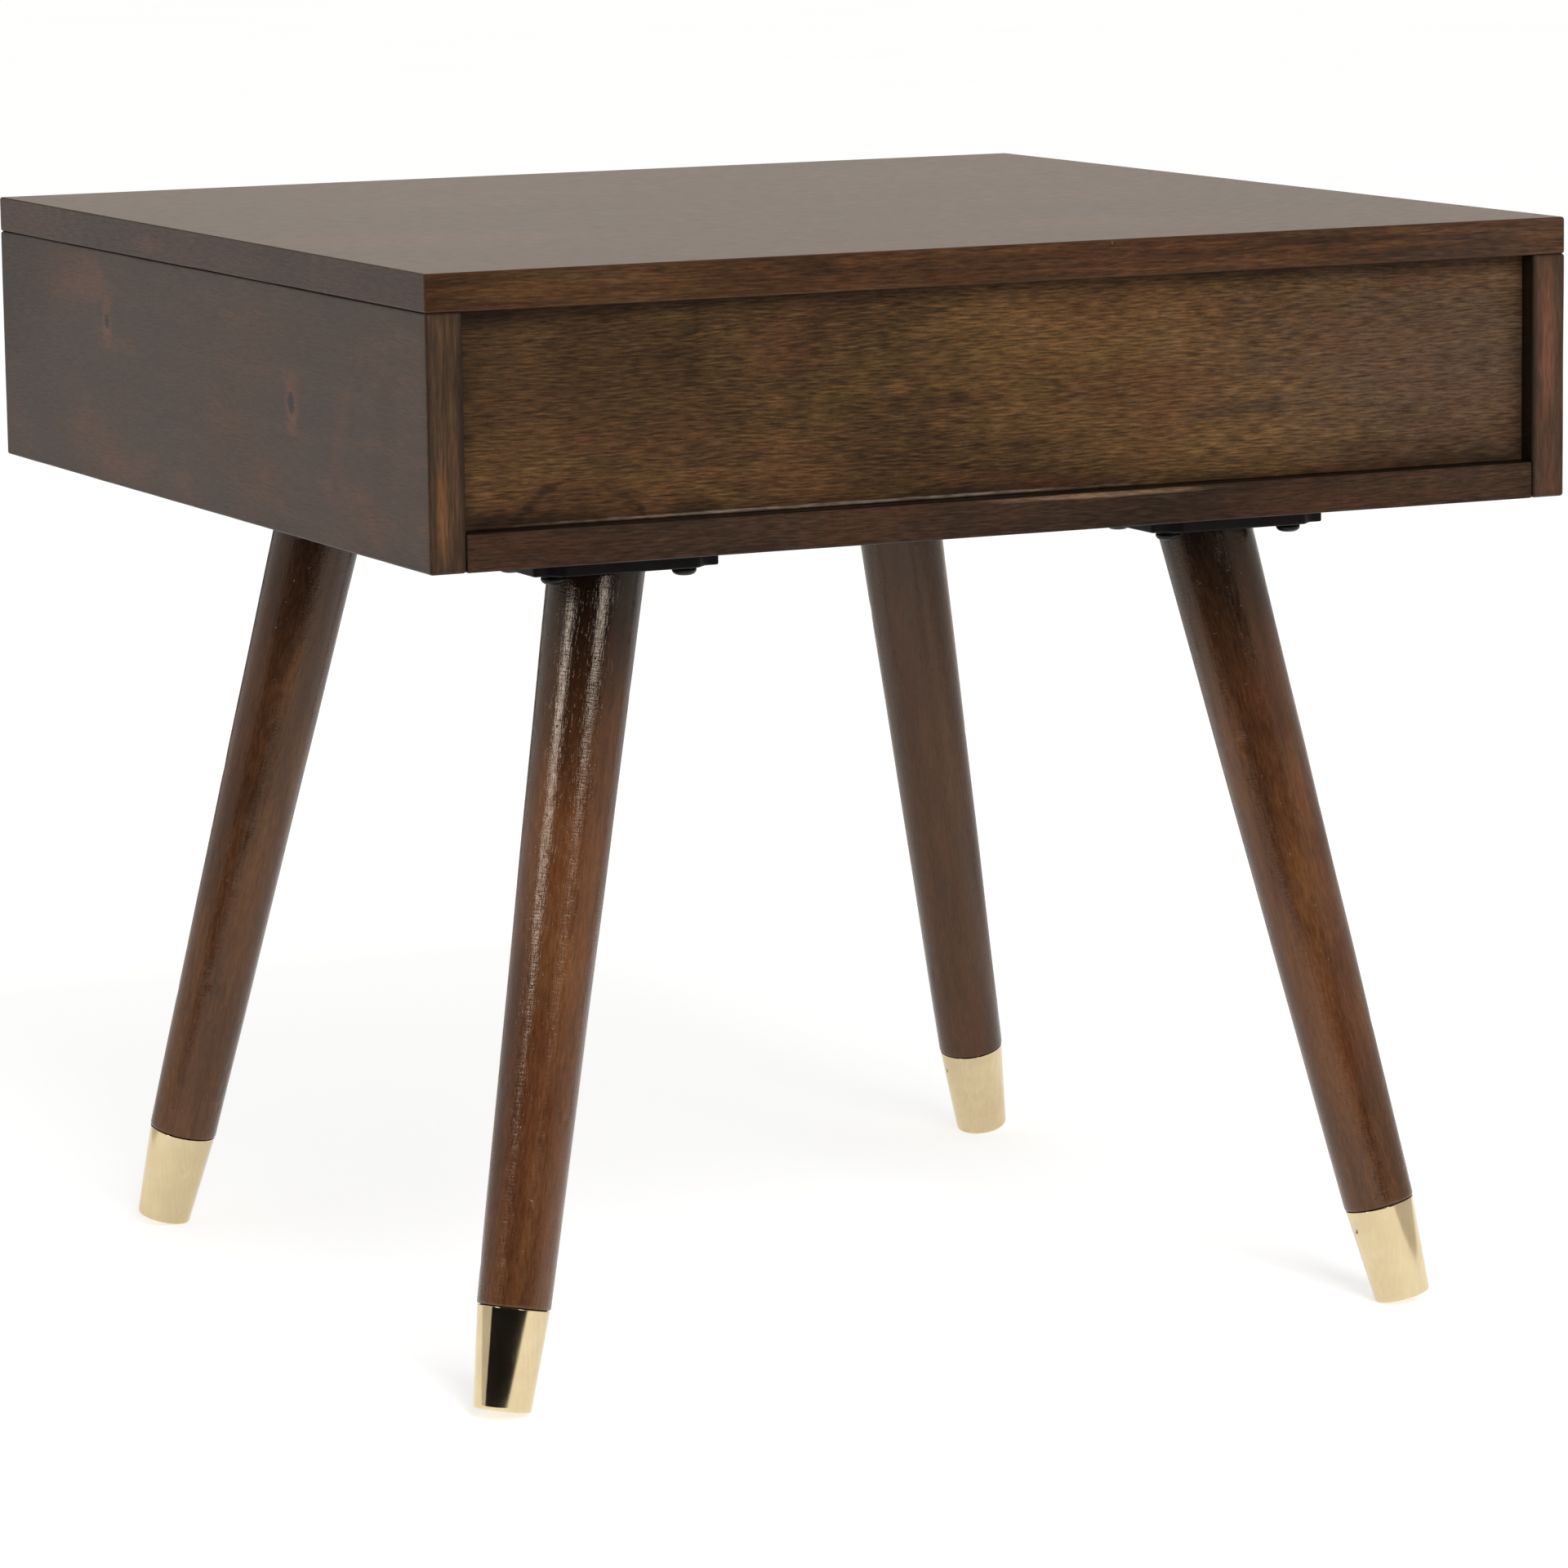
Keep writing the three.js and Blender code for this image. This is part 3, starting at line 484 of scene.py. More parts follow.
backLook = dict(
    woodBase, tones=[(40, 27, 15), (58, 40, 22), (80, 56, 31), (102, 73, 43)],
    patches=[dict(scale=(11, 30, 9), low=0.44, high=0.7, strength=0.5, tone=(80, 47, 29)),
             dict(scale=(13, 34, 11), low=0.48, high=0.72, strength=0.45, tone=(70, 54, 26)),
             dict(scale=(16, 60, 9), low=0.56, high=0.75, strength=0.4, tone=(44, 31, 21))],
    marks=[dict(at=(0.218, -0.060, 4.6), size=(0.040, 0.032, 0.05), tone=(42, 28, 18), strength=0.5, ragged=0.7,
                roughScale=(60, 120, 1), core=0.62, broken=(40, 90, 1)),
           dict(at=(0.222, -0.055, 4.6), size=(0.034, 0.024, 0.05), rim=0.10, tone=(26, 17, 10), strength=0.5,
                ragged=0.5, roughScale=(50, 90, 1), broken=(30, 60, 1)),
           dict(at=(0.163, -0.054, 4.6), size=(0.017, 0.017, 0.05), tone=(38, 24, 16), strength=0.6, ragged=0.8,
                roughScale=(60, 110, 1), core=0.6),
           dict(at=(0.020, -0.054, 4.6), size=(0.024, 0.012, 0.05), tone=(38, 26, 17), strength=0.55, ragged=0.9,
                roughScale=(60, 110, 1), core=0.55, broken=(40, 90, 1)),
           dict(at=(0.284, 0.0, 4.6), size=(0.022, 0.008, 0.05), rim=0.2, tone=(28, 19, 11), strength=0.4, ragged=0.6,
                broken=(60, 90, 1)),
           dict(at=(-0.129, -0.0168, 4.6), size=(0.055, 0.007, 0.05), tone=(38, 29, 22), strength=0.6, ragged=1.3),
           dict(at=(0.05, -0.004, 4.6), size=(0.07, 0.006, 0.05), tone=(46, 31, 16), strength=0.5, ragged=1.4),
           dict(at=(0.262, -0.048, 4.6), size=(0.034, 0.009, 0.05), tone=(26, 20, 16), strength=0.7, ragged=1.2,
                roughScale=(80, 260, 1)),
           dict(at=(0.272, 0.046, 4.6), size=(0.02, 0.008, 0.05), tone=(24, 18, 13), strength=0.7, ragged=1.0),
           # painted sheen: a grey veil over the -X end of the back panel
           dict(at=(-0.27, 0, 4.6), size=(0.24, 0.09, 0.05), tone=(82, 68, 58), strength=0.4, core=0.0),
           # painted shade: the +X end of the back panel darker, where it is less lit
           dict(at=(0.26, 0.02, 4.6), size=(0.13, 0.09, 0.05), tone=(48, 33, 20), strength=0.5, core=0.0),
           dict(at=(0.09, -0.0492, 4.6), size=(0.205, 0.0010, 0.05), tone=(150, 137, 120), strength=0.85, ragged=1.0,
                roughScale=(60, 500, 1), core=0.3)],
    # border and borderTone: painted shade along the panel's rim, darkest under the tabletop
    border=0.75, borderTone=(24, 16, 11), roughness=0.5, bump=0.4, ring=0.12, pore=0.3, fleck=0.4, edge=0.2,
    fine=0.46, shine=0.09,
)
legLook = dict(
    woodBase, tones=[(54, 30, 16), (74, 44, 24), (95, 59, 32), (119, 78, 45)], cloudScale=(11, 45, 45),
    stripeScale=(9, 130, 130), fleckScale=(150, 800, 800), poreScale=(120, 1100, 1100), stripe=0.22, pore=0.14,
    patches=[dict(scale=(9, 40, 40), low=0.45, high=0.72, strength=0.5, tone=(86, 44, 27)),
             dict(scale=(14, 55, 55), low=0.52, high=0.72, strength=0.45, tone=(56, 36, 23))],
    # painted shade: the whole front_left leg darker, for the shade it stands in
    marks=[dict(at=(0, 0, 0.7), size=(1, 1, 0.3), tone=(40, 24, 16), strength=0.4, core=0.9)],
    roughness=0.19, shine=0.45, shineTint=(1.0, 0.84, 0.69), bump=0.6, knock=1.6, peelScale=(900, 190, 190), peel=0.9,
    fleck=0.24,
    # border and borderTone: the top of each leg near black under its block, partly its own darker stain, partly
    # painted shade
    border=1.0, borderTone=(9, 6, 5), jointShadeLow=0.85, wander=0.004, edge=0.0, fine=0.1,
)
boxLook = dict(
    woodBase, tones=[(150, 118, 78), (172, 138, 95), (190, 157, 112), (206, 176, 132)],
    patches=[dict(scale=(5, 14, 9), low=0.45, high=0.72, strength=0.3, tone=(176, 128, 82))],
    border=0.1, borderTone=(120, 90, 58), edge=0.2, edgeTone=(214, 188, 148), roughness=0.55, shine=0.35, bump=0.4,
    fine=0.1, shineTint=(1, 1, 1),
)
topWood = woodFinish("topWood", topLook)
caseWood = woodFinish("caseWood", caseLook)
bottomWood = woodFinish("bottomWood", bottomLook)
backWood = woodFinish("backWood", backLook)
legWood = woodFinish("legWood", legLook)
boxWood = woodFinish("drawerBoxWood", boxLook)
brass = metalFinish("polishedBrass", dict(
    tones=[(204, 185, 147), (209, 190, 152), (214, 196, 158)], metal=1.0, gritScale=(700, 700, 60),
    roughness=0.08, roughSpread=0.02, bump=0.03))
# dull brass for the pins, its dark tone partly painted shade of the hole they sit in
pinBrass = metalFinish("pinBrass", dict(
    tones=[(92, 76, 50), (112, 92, 62), (132, 110, 76)], metal=1.0, gritScale=(900, 900, 900),
    roughness=0.3, roughSpread=0.05, bump=0.05))
blackSteel = metalFinish("blackSteel", dict(
    tones=[(16, 15, 15), (24, 23, 22), (32, 30, 29)], metal=0.6, gritScale=(900, 900, 900), roughness=0.32,
    roughSpread=0.12, bump=0.1))
zincSteel = metalFinish("zincSteel", dict(
    tones=[(164, 166, 169), (171, 173, 175), (178, 179, 181)], metal=1.0, gritScale=(700, 60, 700),
    roughness=0.33, roughSpread=0.03, bump=0.05))
blackPaint = metalFinish("blackPaint", dict(
    tones=[(10, 8, 6), (15, 12, 10), (21, 17, 14)], metal=0.0, shine=0.14, gritScale=(260, 1100, 1100),
    roughness=0.42, roughSpread=0.12, bump=0.45))

print("case")
tabletop = dict(node="top_panel", arris=0.0013, seed=0.3, pitch=0.02)
sidePanels = dict(nodes=("side_panel_left", "side_panel_right"), arris=0.0014, seeds=(1.2, 2.1), pitch=0.015)
bottomBoard = dict(node="bottom_panel", arris=0.0012, seed=3.4, pitch=0.015)
backPanel = dict(node="back_panel", arris=0.0004, seed=4.3, reach=0.005)

top = boardObject("tableTop", *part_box(tabletop["node"]), tabletop["arris"], tabletop["seed"], tabletop["pitch"])
settle(top, topWood, "top_wood", tabletop["node"])
for node, name, seed in zip(sidePanels["nodes"], ("sidePanelLeft", "sidePanelRight"), sidePanels["seeds"]):
    panel = boardObject(name, *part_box(node), sidePanels["arris"], seed, sidePanels["pitch"], reach=0.005)
    settle(panel, caseWood, "case_wood", node)
bottom = boardObject("bottomBoard", *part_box(bottomBoard["node"]), bottomBoard["arris"], bottomBoard["seed"])
settle(bottom, bottomWood, "case_wood", bottomBoard["node"])
back = boardObject("backPanel", *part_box(backPanel["node"]), backPanel["arris"], backPanel["seed"],
                   reach=backPanel["reach"])
settle(back, backWood, "back_wood", backPanel["node"])

print("legs")
leg = dict(
    run=(0.082, 0.058),  # how far out the foot stands from the block, in X and Y
    topRadius=0.0235, shoulderRadius=0.0178, shoulderRound=0.0012,
    ripple=0.00012, dents=26, dentDepth=0.00035, rows=230, cols=112, seed=11,
    gap=0.0003, treeStep=0.7, shadeReach=0.07,
)
cap = dict(
    topRadius=0.0175, footRadius=0.014, length=0.049, wall=0.0012, floor=0.003, footRound=0.0016,
    pinFromMouth=0.010, pinRadius=0.00105, pinHole=0.00145, pinSink=0.0005,
    pinDepth=0.004, pinDome=0.0004, holeDepth=0.0009, mouthRound=0.00035, cols=260,
)


def legAxis(tag):
    sx, sy = corners[tag]
    low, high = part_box("leg_block_" + tag)
    top = np.array([(low.x + high.x) / 2, (low.y + high.y) / 2, low.z])
    tilt, footZ = 0.0, 0.0
    run = math.hypot(*leg["run"])
    for _ in range(8):  # the cap is cut square to the leg, so its inner edge touches the floor
        tilt = math.atan2(run, top[2] - footZ)
        edgeRound = cap["footRound"]
        footZ = (cap["footRadius"] - edgeRound) * math.sin(tilt) + edgeRound * (1 - math.cos(tilt))
    foot = np.array([top[0] + sx * leg["run"][0], top[1] + sy * leg["run"][1], footZ])
    return top, foot


# A leg: radius falls in a straight taper from the block to the shoulder, and the tenon goes on inside
# the cap. Each line along it starts where it meets the underside of the block.
def makeLeg(tag, number):
    top, foot = legAxis(tag)
    length = np.linalg.norm(top - foot)
    axis = (foot - top) / length
    side = np.array([axis[0], axis[1], 0.0])
    side = side - side.dot(axis) * axis
    side = side / np.linalg.norm(side)
    across = np.cross(axis, side)
    angle = np.linspace(0, 2 * math.pi, leg["cols"], endpoint=False)[None, :]
    shoulder = length - cap["length"] - leg["gap"]
    taper = (leg["shoulderRadius"] - leg["topRadius"]) / shoulder
    lift = side[2] * np.cos(angle) + across[2] * np.sin(angle)
    begin = -leg["topRadius"] * lift / (axis[2] + taper * lift)
    t = np.linspace(0, 1, leg["rows"])[:, None]
    end = shoulder - leg["shoulderRound"]
    along = begin * (1 - t) + end * t
    radius = leg["topRadius"] + taper * along
    dice = np.random.default_rng(leg["seed"] + number)
    swell = ripple((along, angle * 0.02, along * 0), (0.09, 0.05, 1), leg["seed"] + 7 * number)
    radius = radius + leg["ripple"] * swell * np.clip(8 * t, 0, 1) * np.clip(12 * (1 - t), 0, 1)
    at = dice.uniform(0.03, 0.97, leg["dents"]) * end
    around = dice.uniform(0, 2 * math.pi, leg["dents"])
    wide = dice.uniform(0.0012, 0.0035, leg["dents"])
    tall = wide * dice.uniform(0.5, 1.6, leg["dents"])
    deep = dice.uniform(0.3, 1.0, leg["dents"]) * leg["dentDepth"]
    turn = (angle[..., None] - around + math.pi) % (2 * math.pi) - math.pi
    gap = ((along[..., None] - at) / tall) ** 2 + (turn * leg["topRadius"] / wide) ** 2
    radius = radius - (deep * np.exp(-gap)).sum(-1)
    # shoulder curve, then the tenon inside the cap
    bend = np.radians([15, 30, 45, 60, 75, 90])[:, None]
    curveR = leg["shoulderRadius"] - leg["shoulderRound"] * (1 - np.cos(bend)) + 0 * angle
    curveS = end + leg["shoulderRound"] * np.sin(bend) + 0 * angle
    mouth = cap["topRadius"] - cap["wall"] - leg["gap"]
    tip = cap["footRadius"] - cap["wall"]
    deep = cap["length"] - 0.0034
    tenon = np.array([(mouth + 0.0002, 0), (mouth, 0), (mouth - 0.0004, 0.001), (tip + 0.0004, cap["length"] - 0.005),
                      (tip - 0.001, deep), (tip - 0.002, deep)])
    tenonR, tenonS = tenon[:, :1] + 0 * angle, shoulder + tenon[:, 1:] + 0 * angle
    radius = np.concatenate([0 * angle + leg["topRadius"] * 0.8, radius, curveR, tenonR])
    along = np.concatenate([begin * 0.8, along, curveS, tenonS])
    tree = leg["treeStep"] * number  # a different piece of tree for each leg
    grain = np.stack([along, radius * np.cos(angle), radius * np.sin(angle) + tree], -1).reshape(-1, 3)
    grain = np.concatenate([grain, grain[:1] * [1, 0, 0] + [0, 0, tree], grain[-1:]])
    # border darkens the leg towards the block: partly its own darker stain, partly painted shade from the case above
    border = np.exp(-((np.maximum(along, 0) / leg["shadeReach"]) ** 1.6)).ravel()
    border = np.concatenate([border, [1.0, 0.0]])
    layers = {"grain": grain, "border": border, "edge": border * 0}
    piece = turnedObject("legWood_" + tag, radius, along, top, axis, side, layers)
    settle(piece, legWood, "leg_wood", "leg_" + tag)


# A cap: a tapered cup whose foot is rounded and whose mouth is barely broken, with a small hole for its pin
def makeCap(tag):
    top, foot = legAxis(tag)
    axis = (top - foot) / np.linalg.norm(top - foot)
    pinSide = np.array([-corners[tag][0], 0.0, 0.0])
    r0, r1, length, wall = cap["footRadius"], cap["topRadius"], cap["length"], cap["wall"]
    slope = (r1 - r0) / length
    inner = r0 + slope * cap["floor"] - wall
    outline = soften(
        [(0, 0), (r0, 0), (r1, length), (r1 - wall, length), (inner, cap["floor"]), (0, cap["floor"])],
        [0, cap["footRound"], cap["mouthRound"], cap["mouthRound"], 0.0005, 0], 7)
    # more lines up the outer wall, closest together at the pin
    pinAt = length - cap["pinFromMouth"]
    level = np.concatenate([np.linspace(0.004, pinAt - 0.003, 12), np.linspace(pinAt - 0.0022, pinAt + 0.0022, 19),
                            np.linspace(pinAt + 0.003, length - 0.002, 4)])
    wallLines = np.stack([r0 + slope * level, level], -1)
    footLines, rest = outline[:10], outline[10:]
    profile = np.concatenate([footLines, wallLines, rest])
    cols = cap["cols"]
    angle = np.linspace(0, 2 * math.pi, cols, endpoint=False)[None, :]
    radius = np.repeat(profile[1:-1, :1], cols, 1)
    along = np.repeat(profile[1:-1, 1:], cols, 1)
    outer = np.zeros(len(radius), bool)
    outer[8:8 + len(level) + 4] = True
    turn = (angle + math.pi) % (2 * math.pi) - math.pi
    gap = np.hypot(turn * radius, along - pinAt)
    pit = np.clip((cap["pinHole"] - gap) / 0.00035, 0, 1) * outer[:, None]
    radius = radius - cap["holeDepth"] * pit
    piece = turnedObject("brassCap_" + tag, radius, along, foot, axis, pinSide)
    settle(piece, brass, "brass", "leg_cap_" + tag)
    # the pin: a low dome sitting in its hole
    outward = pinSide - pinSide.dot(axis) * axis
    outward = outward / np.linalg.norm(outward)
    seat = foot + axis * pinAt + outward * (r0 + slope * pinAt - cap["pinDepth"])
    head, pinRound, pinRadius = cap["pinDepth"] - cap["pinSink"], cap["pinDome"], cap["pinRadius"]
    dome = np.radians(np.linspace(90, 8, 8))
    bulge = np.stack([pinRadius * np.sin(dome), head - pinRound + pinRound * np.cos(dome)], -1)
    shape = np.concatenate([[(0, 0), (pinRadius, 0), (pinRadius, head * 0.6)], bulge, [(0, head)]])
    pin = turnedProfile("capPin_" + tag, shape, seat, outward, axis, 24)
    settle(pin, pinBrass, "brass", "cap_pin_" + tag)


block = dict(flat=0.007, run=0.013, step=0.006, arris=0.0009)
bolt = dict(headRadius=0.006, headHeight=0.0032, collarRadius=0.0052, collarHeight=0.0018, shankRadius=0.003,
            socket=0.0021, socketDepth=0.0018)


def makeBlock(tag):
    low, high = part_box("leg_block_" + tag)
    centre = (low + high) / 2
    a, b = (high.x - low.x) / 2, (high.y - low.y) / 2
    quarter = [(a, b - block["step"]), (a - block["flat"], b - block["step"]), (a - block["run"], b)]
    shape = quarter + [(-x, y) for x, y in quarter[::-1]] + [(-x, -y) for x, y in quarter]
    shape = shape + [(x, -y) for x, y in quarter[::-1]]
    outline = soften(shape, 0.0016, 5, closed=True)
    piece = plateObject("legBlock_" + tag, outline, centre, low.z, high.z, block["arris"])
    settle(piece, blackPaint, "black_paint", "leg_block_" + tag)


# A button-head bolt seen from below: hexagon socket, domed head, collar, then the shank in the block
def makeBolt(tag, number):
    node = f"block_bolt_{tag}_{number}"
    low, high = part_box(node)
    at = np.array([(low.x + high.x) / 2, (low.y + high.y) / 2, low.z])
    r, h, s, d = bolt["headRadius"], bolt["headHeight"], bolt["socket"], bolt["socketDepth"]
    collarTop = h + bolt["collarHeight"]
    cols = 48
    angle = np.linspace(0, 2 * math.pi, cols, endpoint=False)[None, :]
    hexagon = 1 / np.cos((angle + math.pi / 6) % (math.pi / 3) - math.pi / 6)
    socket = np.array([(0, d), (s * 0.5, d), (s * 0.93, d), (s, d - 0.0001), (s, 0.0003), (s * 1.04, 0.00008)])
    dome = np.array([(r * 0.45, 0), (r * 0.56, 0.00005), (r * 0.72, 0.00035), (r * 0.86, 0.0009), (r * 0.95, 0.0016),
                     (r, 0.0023), (r, 0.0027), (r * 0.97, h), (r * 0.93, h)])
    c = bolt["collarRadius"]
    shank, end = bolt["shankRadius"], high.z - low.z
    rest = np.array([(c, h), (c, h + 0.0001), (c, collarTop - 0.0001), (c * 0.98, collarTop), (shank, collarTop),
                     (shank, collarTop + 0.0001), (shank, end - 0.001), (shank * 0.7, end), (0, end)])
    profile = np.concatenate([socket, dome, rest])[1:-1]
    hexShare = np.array([1] * 5 + [0] * (len(profile) - 5))[:, None]
    radius = profile[:, :1] * (hexShare * hexagon + (1 - hexShare))
    along = np.repeat(profile[:, 1:], cols, 1)
    piece = turnedObject(f"blockBolt_{tag}_{number}", radius, along, at, (0, 0, 1), (1, 0, 0))
    settle(piece, blackSteel, "black_steel", node)


for number, tag in enumerate(corners):
    makeLeg(tag, number + 1)
    makeCap(tag)
    makeBlock(tag)
    for boltNumber in (1, 2, 3, 4):
        makeBolt(tag, boltNumber)

print("drawer")
drawerFront = dict(node="drawer_front", arris=0.0014, seed=5.2)
front = boardObject("drawerFront", *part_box(drawerFront["node"]), drawerFront["arris"], drawerFront["seed"])
settle(front, caseWood, "case_wood", drawerFront["node"])
boxBoards = dict(nodes=("drawer_box_front", "drawer_box_back", "drawer_side_left", "drawer_side_right"),
                 names=("drawerBoxFront", "drawerBoxBack", "drawerSideLeft", "drawerSideRight"),
                 arris=0.0008, seed=6.1)
for i, (node, name) in enumerate(zip(boxBoards["nodes"], boxBoards["names"])):
    piece = boardObject(name, *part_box(node), boxBoards["arris"], boxBoards["seed"] + 0.9 * i)
    settle(piece, boxWood, "drawer_box_wood", node)
boxBottom = dict(node="drawer_bottom", arris=0.0004, seed=9.8)
piece = boardObject("drawerBottom", *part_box(boxBottom["node"]), boxBottom["arris"], boxBottom["seed"])
settle(piece, boxWood, "drawer_box_wood", boxBottom["node"])

knob = dict(baseRadius=0.009, neckRadius=0.006, headRadius=0.014)
low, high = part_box("drawer_knob")
reach = high.y - low.y
knobShape = soften(
    [(0, 0), (knob["baseRadius"], 0), (knob["baseRadius"], 0.0022), (knob["neckRadius"], 0.005),
     (knob["neckRadius"], 0.010), (knob["headRadius"], 0.0155), (knob["headRadius"], 0.0195),
     (0.0108, reach - 0.0006), (0, reach)], [0, 0.0003, 0.0008, 0.0018, 0.0022, 0.0012, 0.0014, 0.003, 0], 7)
knobFoot = ((low.x + high.x) / 2, high.y, (low.z + high.z) / 2)
piece = turnedProfile("drawerKnob", knobShape, knobFoot, (0, -1, 0), (1, 0, 0), 96)
settle(piece, brass, "brass", "drawer_knob")

# A slide channel: web and two flanges as one folded centre line, (x, z) on the web from -h to h and on each
# flange out to the lip, with rounded folds; a long bead and round screw seats are pressed into the web.
slide = dict(sheet=0.0012, fold=0.0020, beadDepth=0.0006, beadHalf=0.0045, seatRadius=0.0055,
             seats=(0.035, 0.165, 0.335, 0.465), race=0.00035, lipGap=0.0005)


def makeChannel(node, name, lipSide):
    low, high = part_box(node)
    sheet, centreZ = slide["sheet"], (low.z + high.z) / 2
    webX, lipX = (high.x, low.x) if lipSide < 0 else (low.x, high.x)
    lipX -= lipSide * slide["lipGap"]  # the lips stay clear of the next channel's web
    webX, half = webX + lipSide * sheet / 2, (high.z - low.z) / 2 - sheet / 2
    path = soften([(lipX, -half), (webX, -half), (webX, half), (lipX, half)], slide["fold"], 7)
    web = np.linspace(-half + slide["fold"] * 1.5, half - slide["fold"] * 1.5, 27)[:, None] * [0, 1] + [webX, 0]
    flange = np.linspace(lipX, path[1, 0], 9)[1:-1]
    dip = slide["race"] * np.sin(np.linspace(0, math.pi, 9)[1:-1]) ** 2
    lower = np.stack([flange, dip - half], -1)
    line = np.concatenate([path[:1], lower, path[1:10], web, path[10:-1], lower[::-1] * [1, -1], path[-1:]])
    line[:, 1] += centreZ
    fine = np.linspace(-0.007, 0.007, 15)
    seats = low.y + np.array(slide["seats"]) * (high.y - low.y) / 0.5
    yLines = np.concatenate([np.linspace(low.y, high.y, 90)] + [seat + fine for seat in seats])
    yLines = np.unique(np.clip(yLines, low.y, high.y).round(5))

    def press(x, y, z):
        onWeb = np.abs(x - webX) < 0.0004
        z = z - centreZ
        gap = np.min([np.hypot(y - seat, z) for seat in seats], axis=0)
        seatHere = 1 / (1 + np.exp((gap - slide["seatRadius"]) / 0.0004))
        bead = np.exp(-(z / slide["beadHalf"]) ** 4) * np.clip((y - low.y - 0.012) / 0.006, 0, 1)
        bead = bead * np.clip((high.y - 0.012 - y) / 0.006, 0, 1)
        return lipSide * onWeb * slide["beadDepth"] * bead * (1 - seatHere)

    piece = channelObject(name, line, sheet, yLines, press)
    return settle(piece, zincSteel, "zinc_steel", node)


for kind in ("outer", "middle", "inner"):
    for tag, out in (("left", -1), ("right", 1)):
        name = f"slide{kind.capitalize()}{tag.capitalize()}"
        makeChannel(f"slide_{kind}_{tag}", name, out if kind == "inner" else -out)

# Screws: a domed head with a cross-shaped recess, r(a) = the nearer of the arm's side and its end
screw = dict(headRadius=0.0043, headHeight=0.0024, shankRadius=0.002, arm=0.0021, armHalf=0.00055, recess=0.0013)


def makeScrew(name, at, axis, length):
    r, h, shank = screw["headRadius"], screw["headHeight"], screw["shankRadius"]
    arm, armHalf, deep = screw["arm"], screw["armHalf"], screw["recess"]
    cols = 64
    angle = np.linspace(0, 2 * math.pi, cols, endpoint=False)[None, :]
    part = np.abs((angle + math.pi / 4) % (math.pi / 2) - math.pi / 4)
    cross = np.minimum(arm, armHalf / np.maximum(np.sin(part), 0.05)) / arm
    socket = np.array([(arm * 0.5, deep), (arm * 0.88, deep), (arm * 0.9, deep * 0.95), (arm, h * 0.12),
                       (arm * 1.03, h * 0.07)])
    dome = np.array([(r * 0.62, h * 0.05), (r * 0.76, h * 0.14), (r * 0.88, h * 0.32), (r * 0.96, h * 0.58),
                     (r, h * 0.82), (r * 0.985, h * 0.97), (r * 0.94, h), (shank * 1.05, h), (shank, h * 1.05),
                     (shank, length - h * 0.4), (shank * 0.4, length)])
    profile = np.concatenate([socket, dome])
    share = np.array([1] * len(socket) + [0] * len(dome))[:, None]
    radius = profile[:, :1] * (share * cross + (1 - share))
    side = (0, 0, 1) if abs(axis[2]) < 0.5 else (1, 0, 0)
    return turnedObject(name, radius, np.repeat(profile[:, 1:], cols, 1), at, axis, side)


screwNames = dict(knob_screw="knobScrew", front_screw_left="frontScrewLeft", front_screw_right="frontScrewRight")
for node, name in screwNames.items():
    low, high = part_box(node)
    at = np.array([(low.x + high.x) / 2, high.y, (low.z + high.z) / 2])
    settle(makeScrew(name, at, (0, -1, 0), high.y - low.y), zincSteel, "zinc_steel", node)

for name, node in frame["nodes"].items():  # hidden hardware keeps its CAD shape
    if not node.hide_render:
        node.data.materials.clear()
        node.data.materials.append(zincSteel)

print("studio")
studio = dict(
    skyStrength=0.5, floorTone=(238, 238, 237), floorGlow=0.68,
    keyAzimuth=176, keyDistance=3.2, keyHeight=2.6, keySize=1.8, keyPower=95,
    stripAzimuths=(107, 178), stripHalf=7.0, stripLow=0.70, stripHigh=0.98, stripGlow=15.0,
)


def floorFinish():
    material, tree, skin = newFinish("paleFloor", dict(shine=0.0))
    place = put(tree, "ShaderNodeTexCoord").outputs["Object"]
    cloud = noise(tree, place, (1.5, 1.5, 1.5), 3, 0.5)
    tone = blend(tree, cloud, tint(*studio["floorTone"]), tint(*(c - 3 for c in studio["floorTone"])))
    tree.links.new(tone, skin.inputs["Base Color"])
    tree.links.new(tone, skin.inputs["Emission Color"])
    skin.inputs["Emission Strength"].default_value = studio["floorGlow"]
    skin.inputs["Roughness"].default_value = 0.9
    return material


reachOut = np.linspace(-20, 20, 9)
gx, gy = np.meshgrid(reachOut, reachOut, indexing="ij")
floor = meshObject("floor", np.stack([gx, gy, 0 * gx], -1).reshape(-1, 3), [gridFaces(9, 9)[:, ::-1]], flat=True)
floor.data.materials.append(floorFinish())

sky = bpy.data.worlds.new("sky")
bpy.context.scene.world = sky
sky.use_nodes = True
sky.node_tree.nodes["Background"].inputs["Color"].default_value = (1, 1, 1, 1)
sky.node_tree.nodes["Background"].inputs["Strength"].default_value = studio["skyStrength"]


# a curved card that only reflections see, round the table from one azimuth to another
def card(name, start, end, low, high, tone, glow, radius=2.3, flare=0.0):
    angle = np.radians(np.linspace(start, end, 33))[:, None]
    level = np.linspace(0, 1, 3)[None, :]
    out = radius + flare * level
    height = low + (high - low) * level
    points = np.stack([np.sin(angle) * out, -np.cos(angle) * out, height + 0 * angle], -1)
    made = meshObject(name, points.reshape(-1, 3), [gridFaces(33, 3)], flat=True)
    material = bpy.data.materials.new(name)
    material.use_nodes = True
    tree = material.node_tree
    tree.nodes.clear()
    lamp = put(tree, "ShaderNodeEmission", {"Color": tint(*tone), "Strength": glow})
    put(tree, "ShaderNodeOutputMaterial", {"Surface": lamp.outputs[0]})
    made.data.materials.append(material)
    made.visible_camera = made.visible_diffuse = made.visible_shadow = False
    made.visible_transmission = made.visible_volume_scatter = False
    return made


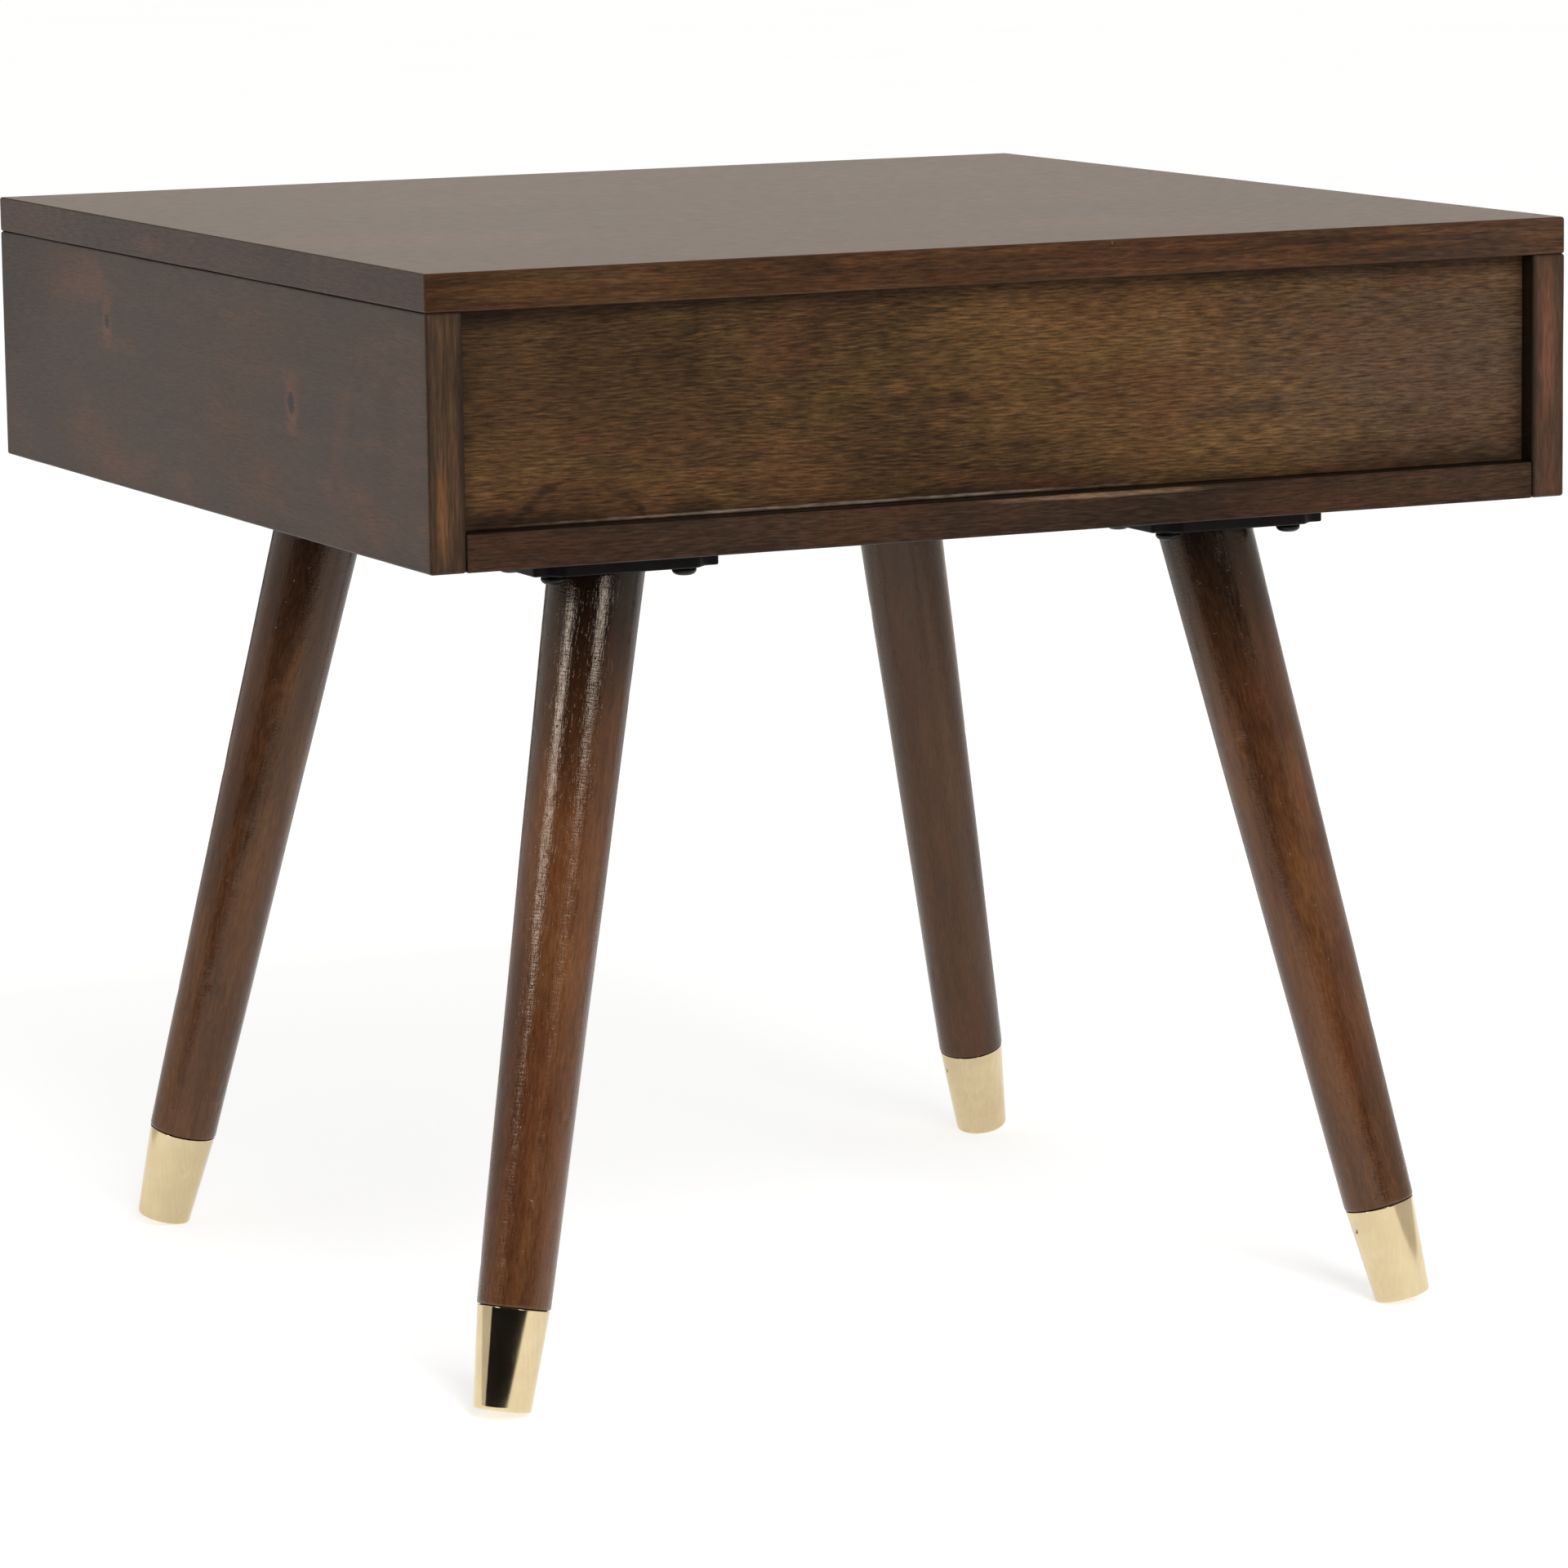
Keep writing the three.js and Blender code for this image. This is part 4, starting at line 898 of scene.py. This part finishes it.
# name: azimuths, heights, colour and strength
cards = dict(
    darkWall=(92, 199, 0.0, 4.0, (255, 255, 255), 0.01),
    dimFront=(-5, 15, 0.0, 2.5, (255, 252, 250), 0.12),
    paleLeft=(15, 91, 0.0, 2.5, (255, 252, 250), 0.72),
    paleRight=(200, 300, 0.0, 2.5, (255, 252, 248), 0.62),
    warmBack=(300, 355, 0.0, 2.2, (255, 243, 230), 1.0),
)
for name, values in cards.items():
    card(name, *values)
# rings that lie just over the floor, out from radius 0.75
floorRing = (0.75, 1.5)
card("darkFloor", 92, 199, 0.003, 0.003, (255, 255, 255), 0.01, *floorRing)
card("dimFloor", 199, 452, 0.003, 0.003, (255, 252, 248), 0.72, *floorRing)
# the strips light every piece but the tabletop, which would burn out when seen from the front
unlit = bpy.data.collections.new("unlit")
unlit.objects.link(top)
unlit.collection_objects[0].light_linking.link_state = "EXCLUDE"
for i, azimuth in enumerate(studio["stripAzimuths"]):
    strip = card(f"strip{i + 1}", azimuth - studio["stripHalf"], azimuth + studio["stripHalf"], studio["stripLow"],
                 studio["stripHigh"], (255, 255, 255), studio["stripGlow"], 2.2)
    strip.light_linking.receiver_collection = unlit

# the key light is soft and doesn't show in reflections
keyData = bpy.data.lights.new("key", "AREA")
keyData.shape, keyData.size, keyData.energy = "SQUARE", studio["keySize"], studio["keyPower"]
key = bpy.data.objects.new("key", keyData)
a = math.radians(studio["keyAzimuth"])
place = Vector((math.sin(a) * studio["keyDistance"], -math.cos(a) * studio["keyDistance"], studio["keyHeight"]))
aim = (place - Vector((0, 0, 0.35))).to_track_quat("Z", "Y")
key.matrix_world = Matrix.Translation(place) @ aim.to_matrix().to_4x4()
key.visible_camera = key.visible_glossy = False
bpy.context.scene.collection.objects.link(key)

shot = dict(azimuth=154.969, elevation=9.089, roll=-0.773, distance=3.39794, right=0.01493, up=-0.07709,
            aim=(0, 0.012, 0.33), lens=151.54)
a, e, roll = (math.radians(shot[key]) for key in ("azimuth", "elevation", "roll"))
towards = Vector((math.sin(a) * math.cos(e), -math.cos(a) * math.cos(e), math.sin(e)))
level = (-towards).cross(Vector((0, 0, 1))).normalized()
rise = level.cross(-towards)
right = math.cos(roll) * level + math.sin(roll) * rise
up = -math.sin(roll) * level + math.cos(roll) * rise
cameraData = bpy.data.cameras.new("camera")
cameraData.lens, cameraData.sensor_width = shot["lens"], 36
cameraData.clip_end = 100
camera = bpy.data.objects.new("camera", cameraData)
place = Vector(shot["aim"]) + towards * shot["distance"] + right * shot["right"] + up * shot["up"]
camera.matrix_world = Matrix.Translation(place) @ Matrix((right, up, towards)).transposed().to_4x4()
bpy.context.scene.collection.objects.link(camera)
bpy.context.scene.camera = camera
bpy.context.scene.view_settings.view_transform = "Standard"

print("done")
